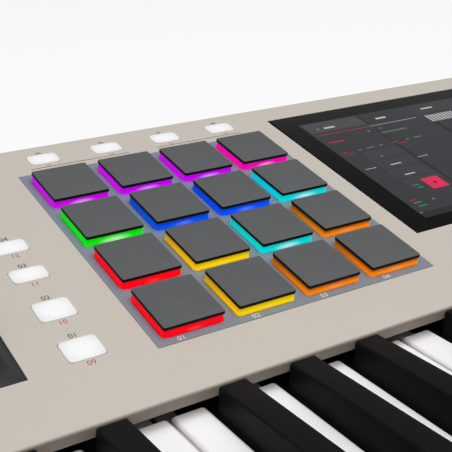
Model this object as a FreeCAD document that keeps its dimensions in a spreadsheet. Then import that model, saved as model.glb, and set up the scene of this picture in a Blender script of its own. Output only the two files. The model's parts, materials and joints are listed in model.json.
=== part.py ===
import FreeCAD
import Part
import Sketcher
import math
import os

doc = FreeCAD.newDocument("SamplerKeyboard")
sheet = doc.addObject("Spreadsheet::Sheet", "Sizes")
size = {}

# Driving sizes in millimetres and degrees, grouped by the piece that they belong to.
driving = [
    ("cheek_width", 24.5),
    ("case_floor", 3.0),
    ("case_parting", 22.0),
    ("case_wall", 2.5),
    ("tray_wall", 3.0),
    ("case_round", 3.0),
    ("case_bevel", 0.8),
    ("rear_lip", 9.0),
    ("tongue_depth", 2.0),
    ("tongue_rise", 4.0),
    ("tongue_root", 6.0),
    ("white_pitch", 23.5),
    ("key_gap", 1.0),
    ("white_top", 38.5),
    ("white_height", 16.5),
    ("white_reach", 145.0),
    ("white_wall", 2.0),
    ("white_bevel", 0.8),
    ("white_tail", 5.1),
    ("white_corner", 1.0),
    ("key_front_gap", 2.5),
    ("black_reach", 95.0),
    ("black_width", 11.2),
    ("black_back_rise", 8.4),
    ("black_front_rise", 12.0),
    ("black_taper", 3.5),
    ("black_slope", 7.0),
    ("black_lip_gap", 0.4),
    ("black_bevel", 0.5),
    ("black_shoulder", 0.5),
    ("black_height", 20.0),
    ("hinge_depth", 32.0),
    ("hinge_rod", 2.6),
    ("hinge_step", 6.8),
    ("hinge_drop", 5.3),
    ("hinge_slack", 0.08),
    ("hinge_wall", 6.0),
    ("rod_inset", 3.0),
    ("tail_back", 4.8),
    ("arm_width", 7.0),
    ("arm_height", 4.4),
    ("guide_width", 6.0),
    ("guide_depth", 9.0),
    ("guide_inset", 12.0),
    ("guide_rise", 4.0),
    ("frame_depth", 1.8),
    ("panel_tilt", 11.5),
    ("panel_wall", 2.5),
    ("lip_rise", 9.0),
    ("lip_height", 3.7),
    ("lip_wall", 2.0),
    ("lip_round", 1.0),
    ("lip_to_pad", 38.25),
    ("column_gap", 20.7),
    ("column_step", 37.3),
    ("bank_reach", 27.4),
    ("rear_reach", 14.11),
    ("pad_pitch", 29.2),
    ("pad_top", 23.0),
    ("pad_flare", 0.35),
    ("pad_rise", 4.2),
    ("pad_corner", 2.3),
    ("pad_edge", 0.4),
    ("pad_hem", 1.35),
    ("pad_flange_depth", 2.1),
    ("plate_rim", 15.8),
    ("plate_depth", 1.5),
    ("plate_proud", 0.2),
    ("plate_shift", 0.5),
    ("plate_ledge", 2.0),
    ("plate_gap", 0.05),
    ("fit_gap", 0.3),
    ("glass_depth", 1.5),
    ("glass_proud", 0.1),
    ("glass_gap", 10.6),
    ("glass_front", 5.8),
    ("screen_width", 152.0),
    ("screen_height", 91.2),
    ("screen_left", 11.7),
    ("screen_right", 10.8),
    ("screen_front", 7.5),
    ("screen_back", 9.3),
    ("screen_rim", 2.0),
    ("screen_depth", 5.5),
    ("button_width", 12.9),
    ("button_small", 7.6),
    ("button_large", 10.4),
    ("button_corner", 1.3),
    ("button_bevel", 0.4),
    ("button_proud", 0.5),
    ("button_flange", 1.5),
    ("button_web", 1.2),
    ("button_stem", 4.0),
    ("button_travel", 0.8),
    ("column_front", 5.5),
    ("large_step", 22.0),
    ("small_step", 18.4),
    ("control_gap", 30.0),
    ("control_margin", 19.0),
    ("transport_row", 10.0),
    ("page_row", 44.0),
    ("menu_row", 80.0),
    ("menu_step", 24.0),
    ("wheel_row", 66.0),
    ("wheel_button", 12.0),
    ("board_depth", 1.6),
    ("board_drop", 9.6),
    ("pad_board_drop", 4.9),
    ("pad_board_rim", 2.4),
    ("post_width", 4.4),
    ("post_inset", 3.0),
    ("board_side", 14.0),
    ("board_end", 9.1),
    ("board_front", 11.5),
    ("knob_radius", 8.0),
    ("knob_height", 14.0),
    ("volume_radius", 9.0),
    ("knob_taper", 0.9),
    ("knob_bevel", 0.8),
    ("knob_slot", 1.2),
    ("knob_slot_depth", 0.8),
    ("dial_radius", 20.0),
    ("dial_height", 13.0),
    ("dish_radius", 5.4),
    ("dish_depth", 1.4),
    ("shaft_radius", 3.0),
    ("shaft_slack", 0.08),
    ("shaft_float", 1.8),
    ("encoder_side", 12.0),
    ("knob_float", 0.5),
    ("knob_gap", 23.0),
    ("knob_row", 18.0),
    ("knob_pitch", 28.0),
    ("volume_row", 96.0),
    ("dial_margin", 43.0),
    ("dial_row", 84.0),
    ("wheel_radius", 19.0),
    ("wheel_width", 12.0),
    ("wheel_bevel", 1.0),
    ("wheel_pitch", 24.0),
    ("wheel_sink", 9.0),
    ("groove_radius", 5.0),
    ("groove_depth", 1.6),
    ("axle_radius", 2.0),
    ("axle_slack", 0.08),
    ("axle_wall", 3.0),
    ("bezel_width", 48.0),
    ("bezel_length", 64.0),
    ("bezel_margin", 11.0),
    ("bezel_centre", 20.0),
    ("bezel_flange", 2.0),
    ("bezel_flange_depth", 1.5),
    ("bezel_wall", 1.8),
    ("bezel_wall_length", 16.0),
    ("foot_radius", 9.0),
    ("foot_end", 43.0),
    ("foot_edge", 33.0),
    ("boss_radius", 4.5),
    ("main_post", 6.4),
    ("screw_radius", 1.5),
    ("screw_slack", 0.1),
    ("screw_head", 2.8),
    ("screw_head_depth", 1.8),
    ("screw_sink", 0.2),
    ("screw_rise", 14.0),
    ("screw_end", 6.0),
    ("screw_back", 9.5),
    ("screw_front", 18.0),
    ("screw_middle", 98.0),
    ("main_board_depth", 60.0),
    ("main_board_back", 4.5),
    ("main_board_left", 16.0),
    ("main_board_right", 12.0),
    ("socket_board", 28.4),
    ("socket_proud", 1.5),
    ("socket_gap", 0.1),
    ("inlet_inset", 33.0),
    ("power_step", 22.0),
    ("jack_pitch", 24.0),
    ("midi_reach", 68.0),
    ("control_reach", 22.0),
    ("control_pitch", 12.0),
    ("jack_reach", 38.0),
    ("jack_radius", 4.7),
    ("jack_bore", 3.25),
    ("jack_width", 15.0),
    ("jack_box", 14.0),
    ("jack_depth", 22.0),
    ("control_jack_radius", 3.0),
    ("control_jack_bore", 1.8),
    ("control_jack_width", 9.0),
    ("control_jack_height", 11.0),
    ("control_jack_depth", 12.0),
    ("midi_radius", 7.8),
    ("midi_width", 20.0),
    ("midi_height", 17.0),
    ("data_depth", 14.0),
    ("host_width", 13.6),
    ("host_height", 6.8),
    ("device_width", 12.2),
    ("device_height", 11.0),
    ("metal_wall", 0.6),
    ("metal_proud", 0.5),
    ("mouth_depth", 9.0),
    ("inlet_radius", 4.3),
    ("inlet_bore", 3.1),
    ("inlet_drop", 1.0),
    ("inlet_depth", 7.0),
    ("power_radius", 5.0),
    ("power_stem", 3.0),
    ("power_root", 6.0),
    ("power_float", 0.2),
    ("power_travel", 1.5),
]

# Counts: octaves of keys, and the flats of the pieces that are round.
octaves = 3
keyspan = 7 * octaves + 1
bossSides = 8
shaftSides = 12
socketSides = 12
knobSides = 20
wheelSides = 24
overrun = 1.0  # depth that joined pieces share, and that cutting tools go beyond a face

# Sizes that follow from the driving ones, as formulas on the sheet.
derived = [
    ("half_width", "=white_pitch * %g + cheek_width" % (keyspan / 2)),
    ("panel_run", "=(lip_to_pad + pad_pitch * 3 + bank_reach + rear_reach) * cos(panel_tilt)"),
    ("front_edge", "=(tray_wall + key_front_gap + white_reach + panel_run + socket_proud) / 2"),
    ("rear_wall", "=front_edge - socket_proud"),
    ("pad_field", "=half_width - bezel_margin - bezel_width - column_gap - column_step"),
    ("pad_flange", "=pad_top + pad_flare * 2 + pad_hem * 2"),
    ("plate_side", "=pad_pitch * 3 + plate_rim * 2"),
    ("glass_left", "=pad_field - pad_pitch * 1.5 - plate_shift - plate_side / 2 - glass_gap"),
    ("glass_width", "=screen_left + screen_width + screen_right"),
    ("glass_height", "=screen_front + screen_height + screen_back"),
    ("main_board_width", "=power_step + jack_pitch * 7 + midi_reach + control_reach"
     " + control_pitch * 2 + jack_reach + main_board_left + main_board_right"),
]


def fillSheet():
    """Write the sizes into the sheet, one alias for each, and read back their values."""
    row = 1
    for word, value in driving + derived:
        sheet.set("A%d" % row, word)
        sheet.set("B%d" % row, str(value))
        sheet.setAlias("B%d" % row, word)
        row += 1
    doc.recompute()
    for word, value in driving + derived:
        size[word] = float(sheet.get(word))


fillSheet()

tilt = math.radians(size["panel_tilt"])
keyFront = -size["front_edge"] + size["tray_wall"] + size["key_front_gap"]
lipY = keyFront + size["white_reach"]
lipTop = size["white_top"] + size["lip_rise"]
trayFloor = size["case_floor"] + size["case_wall"]
surface = -size["pad_rise"] - size["plate_proud"]
underside = surface - size["panel_wall"]
plateTop = -size["pad_rise"]
padY = lipY + size["lip_to_pad"] * math.cos(tilt) + surface * math.sin(tilt)
padZ = lipTop + size["lip_to_pad"] * math.sin(tilt) - surface * math.cos(tilt)
hingeY = lipY + size["hinge_depth"]
hingeTop = size["white_top"] - size["hinge_drop"]
tailEnd = hingeY - size["tail_back"]
whiteEnd = lipY + size["white_tail"]
keyLeft = -keyspan * size["white_pitch"] / 2
octave = 7 * size["white_pitch"]
whiteBottom = size["white_top"] - size["white_height"]
boardTop = surface - size["board_drop"]
padBoardTop = surface - size["pad_board_drop"]
padX = -size["pad_field"]
fieldMid = 1.5 * size["pad_pitch"]


def panelPlace(x=0.0, y=0.0, z=0.0, turn=None):
    """Placement of a piece given in the tilted panel's own axes."""
    turn = turn or FreeCAD.Rotation()
    tilted = FreeCAD.Rotation(FreeCAD.Vector(1, 0, 0), size["panel_tilt"])
    frame = FreeCAD.Placement(FreeCAD.Vector(0, padY, padZ), tilted)
    return frame.multiply(FreeCAD.Placement(FreeCAD.Vector(x, y, z), turn))


def levelPlace(x=0.0, y=0.0, z=0.0, turn=None):
    """Placement of a piece given in the level axes of the whole part."""
    return FreeCAD.Placement(FreeCAD.Vector(x, y, z), turn or FreeCAD.Rotation())


def toPanel(y, z):
    """Turn a level point of the side view into the panel's axes."""
    dy = y - padY
    dz = z - padZ
    across = dy * math.cos(tilt) + dz * math.sin(tilt)
    above = dz * math.cos(tilt) - dy * math.sin(tilt)
    return across, above


def levelHeight(y, above):
    """Level height of the panel's plane 'above', over the level depth y."""
    return padZ + ((y - padY) * math.sin(tilt) + above) / math.cos(tilt)


def newBody(name, place):
    body = doc.addObject("PartDesign::Body", name)
    body.Label = name
    body.Placement = place
    return body


def newSketch(body, name, role, offset=0.0):
    sketch = body.newObject("Sketcher::SketchObject", name)
    for item in body.Origin.OriginFeatures:
        if item.Role == role:
            sketch.AttachmentSupport = [(item, "")]
    sketch.MapMode = "FlatFace"
    shift = FreeCAD.Vector(0, 0, offset)
    sketch.AttachmentOffset = FreeCAD.Placement(shift, FreeCAD.Rotation())
    return sketch


def line(sketch, start, end):
    a = FreeCAD.Vector(start[0], start[1], 0)
    b = FreeCAD.Vector(end[0], end[1], 0)
    sketch.addGeometry(Part.LineSegment(a, b), False)


def polygon(sketch, points):
    for start, end in zip(points, points[1:] + points[:1]):
        line(sketch, start, end)


def rectangle(sketch, left, front, width, depth):
    right = left + width
    back = front + depth
    polygon(sketch, [(left, front), (right, front), (right, back), (left, back)])


def roundedOutline(sketch, corners):
    """Closed outline; each corner has its two coordinates and the radius of its arc."""
    ends = []
    for k, (x, y, radius) in enumerate(corners):
        here = FreeCAD.Vector(x, y, 0)
        last = corners[k - 1]
        following = corners[(k + 1) % len(corners)]
        before = (FreeCAD.Vector(last[0], last[1], 0) - here).normalize()
        after = (FreeCAD.Vector(following[0], following[1], 0) - here).normalize()
        half = before.getAngle(after) / 2
        start = here + before * (radius / math.tan(half))
        end = here + after * (radius / math.tan(half))
        if radius > 0:
            middle = here + (before + after).normalize() * (radius / math.sin(half) - radius)
            sketch.addGeometry(Part.Arc(start, middle, end), False)
        ends.append((start, end))
    for k in range(len(corners)):
        line(sketch, ends[k - 1][1], ends[k][0])


def softRectangle(x, y, width, depth, radius, flats=2):
    """Points of a rectangle whose corners are each cut by a few flats along an arc."""
    points = []
    for quarter, (side, end) in enumerate([(1, 1), (-1, 1), (-1, -1), (1, -1)]):
        for step in range(flats + 1):
            angle = math.pi / 2 * (quarter + step / flats)
            points.append((x + side * (width / 2 - radius) + radius * math.cos(angle),
                           y + end * (depth / 2 - radius) + radius * math.sin(angle)))
    return points


def ring(x, y, radius, sides, around=False):
    """Points of a regular outline, with its corners or, 'around', its flats at the radius."""
    reach = radius / math.cos(math.pi / sides) if around else radius
    turns = [2 * math.pi * k / sides for k in range(sides)]
    return [(x + reach * math.cos(turn), y + reach * math.sin(turn)) for turn in turns]


def pad(body, sketch, formula, back=False):
    item = body.newObject("PartDesign::Pad", sketch.Name + "Pad")
    item.Profile = sketch
    item.Reversed = back
    item.setExpression("Length", formula)
    sketch.Visibility = False
    return item


def pocket(body, sketch, formula):
    item = body.newObject("PartDesign::Pocket", sketch.Name + "Pocket")
    item.Profile = sketch
    item.setExpression("Length", formula)
    sketch.Visibility = False
    return item


def pickEdges(shape, test):
    """Names of the edges whose two ends and middle pass the test."""
    names = []
    for number, edge in enumerate(shape.Edges):
        if len(edge.Vertexes) < 2:
            continue
        middle = edge.valueAt((edge.FirstParameter + edge.LastParameter) / 2)
        points = [edge.Vertexes[0].Point, middle, edge.Vertexes[-1].Point]
        if all(test(point) for point in points):
            names.append("Edge%d" % (number + 1))
    return names


def chamfer(body, base, names, formula):
    item = body.newObject("PartDesign::Chamfer", base.Name + "Bevel")
    item.Base = (base, names)
    item.setExpression("Size", formula)
    return item


def draftWalls(body, base, low, formula):
    """Lean inwards the walls that rise from the level 'low', by the formula's angle."""
    doc.recompute()
    walls = []
    foot = []
    for number, face in enumerate(base.Shape.Faces):
        span = face.BoundBox
        if near(span.ZMin, low) and span.ZMax > low + 1:
            walls.append("Face%d" % (number + 1))
        if near(span.ZMin, low) and near(span.ZMax, low):
            foot.append("Face%d" % (number + 1))
    item = body.newObject("PartDesign::Draft", base.Name + "Draft")
    item.Base = (base, walls)
    item.NeutralPlane = (base, foot[:1])
    item.setExpression("Angle", formula)
    return item


def bevelTop(body, base, height, formula):
    """Cut the edges round the level face at the given height of the body."""
    doc.recompute()
    names = pickEdges(base.Shape, lambda p: near(p.z, height))
    return chamfer(body, base, names, formula)


def box(name, place, width, depth, height):
    """Part box; each side is a formula on the sheet."""
    item = doc.addObject("Part::Box", name)
    item.setExpression("Length", width)
    item.setExpression("Width", depth)
    item.setExpression("Height", height)
    item.Placement = place
    return item


def prism(name, place, sides, radius, height):
    """Regular prism that stands for a small round piece; its corners are at the radius."""
    item = doc.addObject("Part::Prism", name)
    item.Polygon = sides
    item.setExpression("Circumradius", radius)
    item.setExpression("Height", height)
    item.Placement = place
    return item


def fuse(name, pieces):
    item = doc.addObject("Part::MultiFuse", name)
    item.Shapes = pieces
    item.Label = name
    return item


def cut(name, base, tool):
    item = doc.addObject("Part::Cut", name)
    item.Base = base
    item.Tool = tool
    item.Label = name
    return item


nodes = []


def keep(item, label):
    """Name the piece as it is filed, and list it for export."""
    item.Label = label
    nodes.append(item)
    return item


def near(a, b):
    return abs(a - b) < 0.01


def cornerFlats(name):
    """The buttons that stand in groups have plainer corners."""
    return 1 if name in ("transport", "function") else 2


# Places of the controls on the panel, measured from the unit's middle and from pad 1.
columnX = padX - size["column_step"]
columnRows = [-size["column_front"] + size["large_step"] * k for k in range(3)]
columnRows.append(columnRows[2] + size["small_step"])
leftButtons = [
    ("note_repeat_button", columnX, columnRows[0], "large"),
    ("erase_button", columnX, columnRows[1], "large"),
    ("sixteen_levels_button", columnX, columnRows[2], "small"),
    ("full_level_button", columnX, columnRows[3], "small"),
]
bankY = 3 * size["pad_pitch"] + size["bank_reach"]
bankButtons = [
    ("pad_bank_button_%d" % (k + 1), padX + k * size["pad_pitch"], bankY, "small")
    for k in range(4)
]
bezelX = size["bezel_margin"] + size["bezel_width"] / 2 - size["half_width"]
knobX = size["glass_width"] - size["glass_left"] + size["knob_gap"]
controlX = knobX + size["control_gap"]
controlStep = (size["half_width"] - size["control_margin"] - controlX) / 4
dialX = size["half_width"] - size["dial_margin"]
transportButtons = [("transport", controlX + controlStep * k, size["transport_row"], "large")
                    for k in range(5)]
functionButtons = [("function", controlX, size["menu_row"] + size["menu_step"] * k, "small")
                   for k in range(2)]
functionButtons += [("function", dialX + controlStep * k, size["page_row"], "small")
                    for k in (-1, 0, 1)]
functionButtons += [("function", bezelX + size["wheel_button"] * k, size["wheel_row"], "small")
                    for k in (-1, 1)]
allButtons = leftButtons + bankButtons + transportButtons + functionButtons
parameterKnobs = [(knobX, size["knob_row"] + size["knob_pitch"] * k) for k in range(4)]
volumeKnob = (bezelX, size["volume_row"])
dataDial = (dialX, size["dial_row"])
encoders = parameterKnobs + [volumeKnob, dataDial]
boardSide = size["board_side"]
boardEnd = size["board_end"]
# Each board: left, front, width and depth on the panel.
boards = [
    (columnX - boardSide, columnRows[0] - size["board_front"], 2 * boardSide,
     columnRows[3] - columnRows[0] + size["board_front"] + boardEnd),
    (bezelX - size["bezel_width"] / 2, size["wheel_row"] - size["board_front"],
     size["bezel_width"], size["volume_row"] - size["wheel_row"] + 2 * size["board_front"]),
    (padX - boardSide, bankY - size["button_small"] + 1, 3 * size["pad_pitch"] + 2 * boardSide,
     2 * size["button_small"] - 2),
    (knobX - boardSide + 2, size["transport_row"] - 2 * boardEnd,
     size["half_width"] - size["bezel_margin"] - knobX + boardSide - 4,
     size["menu_row"] + size["menu_step"] - size["transport_row"] + 2 * boardEnd + 6),
]
inletX = size["half_width"] - size["inlet_inset"]
powerX = inletX - size["power_step"]
deviceX = powerX - size["jack_pitch"]
hostX = deviceX - size["jack_pitch"]
midiPlaces = [hostX - size["midi_reach"] - size["jack_pitch"] * k for k in range(2)]
controlJacks = [midiPlaces[1] - size["control_reach"] - size["control_pitch"] * k
                for k in range(3)]
jackPlaces = [controlJacks[2] - size["jack_reach"] - size["jack_pitch"] * k for k in range(5)]
mainLeft = jackPlaces[4] - size["main_board_left"]
mainFront = size["rear_wall"] - size["main_board_back"] - size["main_board_depth"]
socketTop = size["socket_board"] + size["board_depth"]
wallInside = size["rear_wall"] - size["case_wall"]
socketBack = wallInside - size["socket_gap"]
jackZ = socketTop + size["jack_box"] / 2
rearTop = levelHeight(size["rear_wall"], surface) - size["rear_lip"]
endX = size["half_width"] - size["screw_end"]
cheekX = size["half_width"] - size["cheek_width"] / 2
screwPlaces = [(side * x, y) for side in (-1, 1) for x, y in
               ((endX, size["rear_wall"] - size["screw_back"]),
                (cheekX, size["screw_middle"] - size["front_edge"]),
                (cheekX, size["screw_front"] - size["front_edge"]))]


def caseShell():
    """Wedge of the upper case, hollow below and behind, with its lips front and rear."""
    body = newBody("TopShell", panelPlace())
    rear = size["rear_wall"]
    low = size["case_parting"]
    outer = newSketch(body, "ShellOutside", "YZ_Plane", -size["half_width"])
    corners = [
        (lipY, lipTop, size["lip_round"]),
        (rear, levelHeight(rear, surface), size["case_round"]),
        (rear, low, 0), (lipY, low, 0),
    ]
    roundedOutline(outer, [toPanel(y, z) + (radius,) for y, z, radius in corners])
    block = pad(body, outer, "Sizes.half_width * 2")
    doc.recompute()
    onTopEnd = lambda p: near(abs(p.x), size["half_width"]) and near(p.z, surface)
    chamfer(body, block, pickEdges(block.Shape, onTopEnd), "Sizes.case_bevel")
    inner = newSketch(body, "ShellInside", "YZ_Plane", size["half_width"] - size["case_wall"])
    before = lipY - size["lip_wall"]
    behind = lipY + size["lip_wall"]
    lipLow = lipTop - size["lip_height"]
    below = low - 2 * overrun
    corners = [
        (before, below), (before, lipLow), (behind, lipLow),
        (behind, levelHeight(behind, underside)),
        (wallInside, levelHeight(wallInside, underside)), (wallInside, rearTop),
        (rear + overrun, rearTop), (rear + overrun, below),
    ]
    polygon(inner, [toPanel(y, z) for y, z in corners])
    pocket(body, inner, "Sizes.half_width * 2 - Sizes.case_wall * 2")
    return body


def panelOpenings(body):
    """Recesses and openings that the panel's own pieces sit in."""
    over = surface + 1
    through = "Sizes.panel_wall + 2"
    gap = size["fit_gap"]
    side = size["plate_side"] + 2 * size["plate_gap"]
    shift = size["plate_shift"]
    middle = padX + fieldMid + shift
    plate = newSketch(body, "PlateRecess", "XY_Plane", over)
    rectangle(plate, middle - side / 2, fieldMid + shift - side / 2, side, side)
    pocket(body, plate, "Sizes.plate_depth - Sizes.plate_proud + 1")
    field = newSketch(body, "PadOpening", "XY_Plane", over)
    side = size["plate_side"] - 2 * size["plate_ledge"]
    rectangle(field, padX + fieldMid - side / 2, fieldMid - side / 2, side, side)
    pocket(body, field, through)
    glass = newSketch(body, "GlassRecess", "XY_Plane", over)
    rectangle(glass, -size["glass_left"] - gap, size["glass_front"] - gap,
              size["glass_width"] + 2 * gap, size["glass_height"] + 2 * gap)
    pocket(body, glass, "Sizes.glass_depth - Sizes.glass_proud + 1")
    window = newSketch(body, "ScreenOpening", "XY_Plane", over)
    rim = size["screen_rim"] + 1
    rectangle(window, -size["glass_left"] + size["screen_left"] - rim,
              size["glass_front"] + size["screen_front"] - rim,
              size["screen_width"] + 2 * rim, size["screen_height"] + 2 * rim)
    pocket(body, window, through)
    wheels = newSketch(body, "WheelOpening", "XY_Plane", over)
    wide = size["bezel_width"] + gap
    deep = size["bezel_length"] + gap
    rectangle(wheels, bezelX - wide / 2, size["bezel_centre"] - deep / 2, wide, deep)
    pocket(body, wheels, through)
    buttons = newSketch(body, "ButtonOpenings", "XY_Plane", over)
    for name, x, y, kind in allButtons:
        polygon(buttons, softRectangle(x, y, size["button_width"] + 2 * gap,
                                       size["button_" + kind] + 2 * gap,
                                       size["button_corner"] + gap, cornerFlats(name)))
    pocket(body, buttons, through)
    shafts = newSketch(body, "KnobOpenings", "XY_Plane", over)
    for x, y in encoders:
        polygon(shafts, ring(x, y, size["shaft_radius"] + gap, shaftSides, True))
    pocket(body, shafts, through)


def boardPosts(body):
    """Posts under the panel, at two opposite corners of each board."""
    wide = size["post_width"]
    posts = newSketch(body, "BoardPosts", "XY_Plane", underside)
    for left, front, width, depth in boards:
        inset = size["post_inset"]
        for x, y in ((left + inset, front + inset),
                     (left + width - inset, front + depth - inset)):
            rectangle(posts, x - wide / 2, y - wide / 2, wide, wide)
    pad(body, posts, "Sizes.board_drop - Sizes.panel_wall", True)
    short = newSketch(body, "PadBoardPosts", "XY_Plane", underside)
    reach = size["plate_side"] / 2 + size["fit_gap"]
    for x in (padX + fieldMid - reach, padX + fieldMid + reach):
        for y in (fieldMid - reach, fieldMid + reach):
            rectangle(short, x - wide / 2, y - wide / 2, wide, wide)
    pad(body, short, "Sizes.pad_board_drop - Sizes.panel_wall", True)


def backwards(name, x, y, z, sides, radius, length):
    """Round piece or tool whose axis points out of the rear wall."""
    turn = FreeCAD.Rotation(FreeCAD.Vector(1, 0, 0), -90)
    return prism(name, levelPlace(x, y, z, turn), sides, radius, length)


def rearHole(name, x, z, radius):
    """Round tool through the rear panel, wider than the piece in it by the fitting gap."""
    return backwards(name, x, wallInside - overrun, z, socketSides,
                     "Sizes.%s + Sizes.fit_gap" % radius, "Sizes.case_wall + 2")


def rearSlot(name, x, width, height):
    """Square tool through the rear panel for a metal socket that stands on the main board."""
    left = x - size[width] / 2 - size["fit_gap"]
    place = levelPlace(left, wallInside - overrun, socketTop - size["fit_gap"])
    return box(name, place, "Sizes.%s + Sizes.fit_gap * 2" % width, "Sizes.case_wall + 2",
               "Sizes.%s + Sizes.fit_gap * 2" % height)


def topCase():
    body = caseShell()
    panelOpenings(body)
    boardPosts(body)
    low = size["case_parting"]
    bosses = [body]
    tools = []
    for k, (x, y) in enumerate(screwPlaces):
        if y > lipY:
            rise = levelHeight(y, underside) + size["panel_wall"] / 2 - low
            bosses.append(prism("UpperBoss%d" % k, levelPlace(x, y, low), bossSides,
                                "Sizes.boss_radius", str(rise)))
            tools.append(prism("UpperPilot%d" % k, levelPlace(x, y, low - overrun), bossSides,
                               "Sizes.screw_radius + Sizes.screw_slack",
                               "Sizes.screw_rise + 2"))
    keep(cut("TopCase", fuse("TopSolid", bosses), fuse("TopTools", tools)), "top_case")


def rearPanel():
    """Flat panel between the end walls, with the sockets' openings and a tongue on top."""
    inside = size["half_width"] - size["case_wall"] - size["fit_gap"]
    low = size["case_parting"]
    plate = box("RearPlate", levelPlace(-inside, wallInside, low),
                "Sizes.half_width * 2 - Sizes.case_wall * 2 - Sizes.fit_gap * 2",
                "Sizes.case_wall", str(rearTop - size["fit_gap"] - low))
    reach = endX - 2 * size["boss_radius"]
    front = wallInside - size["tongue_depth"]
    base = rearTop - size["tongue_root"]
    root = box("TongueRoot", levelPlace(-reach, front, base), str(2 * reach),
               "Sizes.tongue_depth + 1", "Sizes.tongue_root - Sizes.fit_gap")
    tongue = box("Tongue", levelPlace(-reach, front, base), str(2 * reach),
                 "Sizes.tongue_depth - Sizes.fit_gap", "Sizes.tongue_root + Sizes.tongue_rise")
    tools = []
    for k, x in enumerate(jackPlaces):
        tools.append(rearHole("JackHole%d" % k, x, jackZ, "jack_radius"))
    for k, x in enumerate(controlJacks):
        tools.append(rearHole("ControlJackHole%d" % k, x, jackZ, "control_jack_radius"))
    for k, x in enumerate(midiPlaces):
        tools.append(rearHole("MidiHole%d" % k, x, jackZ, "midi_radius"))
    tools.append(rearHole("InletHole", inletX, jackZ - size["inlet_drop"], "inlet_radius"))
    tools.append(rearHole("PowerHole", powerX, jackZ, "power_radius"))
    tools.append(rearSlot("HostSlot", hostX, "host_width", "host_height"))
    tools.append(rearSlot("DeviceSlot", deviceX, "device_width", "device_height"))
    keep(cut("RearPanel", fuse("RearSolid", [plate, root, tongue]), fuse("RearTools", tools)),
         "rear_panel")


def bottomCase():
    """Tray with cut corners, screw bosses and the posts of the main board."""
    body = newBody("Tray", levelPlace())
    wide = 2 * size["half_width"]
    deep = size["front_edge"] + size["rear_wall"]
    middle = (size["rear_wall"] - size["front_edge"]) / 2
    outer = newSketch(body, "TrayOutside", "XY_Plane", size["case_floor"])
    polygon(outer, softRectangle(0, middle, wide, deep, size["case_bevel"], 1))
    pad(body, outer, "Sizes.case_parting - Sizes.case_floor")
    inner = newSketch(body, "TrayInside", "XY_Plane", size["case_parting"])
    wide -= 2 * size["tray_wall"]
    deep -= 2 * size["tray_wall"]
    rectangle(inner, -wide / 2, middle - deep / 2, wide, deep)
    pocket(body, inner, "Sizes.case_parting - Sizes.case_floor - Sizes.case_wall")
    bosses = newSketch(body, "TrayBosses", "XY_Plane", trayFloor)
    for x, y in screwPlaces:
        polygon(bosses, ring(x, y, size["boss_radius"], bossSides))
    pad(body, bosses, "Sizes.case_parting - Sizes.case_floor - Sizes.case_wall")
    posts = newSketch(body, "MainBoardPosts", "XY_Plane", trayFloor)
    post = size["main_post"]
    right = mainLeft + size["main_board_width"]
    for x in (mainLeft + post, (mainLeft + right) / 2, right - post):
        for y in (mainFront + post, mainFront + size["main_board_depth"] - 2 * post):
            rectangle(posts, x - post / 2, y - post / 2, post, post)
    pad(body, posts, "Sizes.socket_board - Sizes.case_floor - Sizes.case_wall")
    holes = newSketch(body, "ScrewHoles", "XY_Plane", size["case_parting"] + 1)
    sink = size["case_floor"] + size["screw_head_depth"] + size["screw_sink"]
    heads = newSketch(body, "ScrewSinks", "XY_Plane", sink)
    slack = 2 * size["screw_slack"]
    for x, y in screwPlaces:
        polygon(holes, ring(x, y, size["screw_radius"] + slack, bossSides))
        polygon(heads, ring(x, y, size["screw_head"] + 2 * slack, bossSides))
    pocket(body, holes, "Sizes.case_parting")
    pocket(body, heads, "Sizes.case_floor")
    keep(body, "bottom_case")


def cheek(label, side):
    """End block beside the keys, its front corner rounded over."""
    inside = -keyLeft + size["key_gap"]
    front = -size["front_edge"]
    back = lipY - size["fit_gap"]
    top = lipTop - size["case_round"]
    low = size["case_parting"]
    left = inside if side > 0 else -size["half_width"]
    name = label.title().replace("_", "")
    body = newBody(name, levelPlace())
    profile = newSketch(body, name + "Profile", "YZ_Plane", left)
    roundedOutline(profile, [(front, low, 0), (back, low, 0), (back, top, 0),
                             (front, top, 2 * size["case_round"])])
    block = pad(body, profile, "Sizes.half_width - Sizes.key_gap - Sizes.white_pitch * %g"
                % (keyspan / 2))
    doc.recompute()
    onTopEnd = lambda p: near(p.z, top) and near(abs(p.x), size["half_width"])
    chamfer(body, block, pickEdges(block.Shape, onTopEnd), "Sizes.case_bevel")
    pilots = newSketch(body, name + "Pilots", "XY_Plane", low + size["screw_rise"] + 1)
    for x, y in screwPlaces:
        if y < lipY and x * side > 0:
            polygon(pilots, ring(x, y, size["screw_radius"] + size["screw_slack"], bossSides))
    pocket(body, pilots, "Sizes.screw_rise + 2")
    keep(body, label)


def padSurround():
    """Flat plate with sixteen openings, one for each pad."""
    side = size["plate_side"]
    shift = size["plate_shift"]
    middle = padX + fieldMid + shift
    body = newBody("PadSurround", panelPlace())
    plan = newSketch(body, "PlatePlan", "XY_Plane", plateTop)
    rectangle(plan, middle - side / 2, fieldMid + shift - side / 2, side, side)
    pad(body, plan, "Sizes.plate_depth", True)
    holes = newSketch(body, "PadHoles", "XY_Plane", plateTop + 1)
    opening = size["pad_top"] + 2 * (size["pad_flare"] + size["fit_gap"])
    for column in range(4):
        for row in range(4):
            polygon(holes, softRectangle(padX + column * size["pad_pitch"],
                                         row * size["pad_pitch"], opening, opening,
                                         size["pad_corner"] + size["fit_gap"]))
    pocket(body, holes, "Sizes.plate_depth + 2")
    keep(body, "pad_surround")


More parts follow.
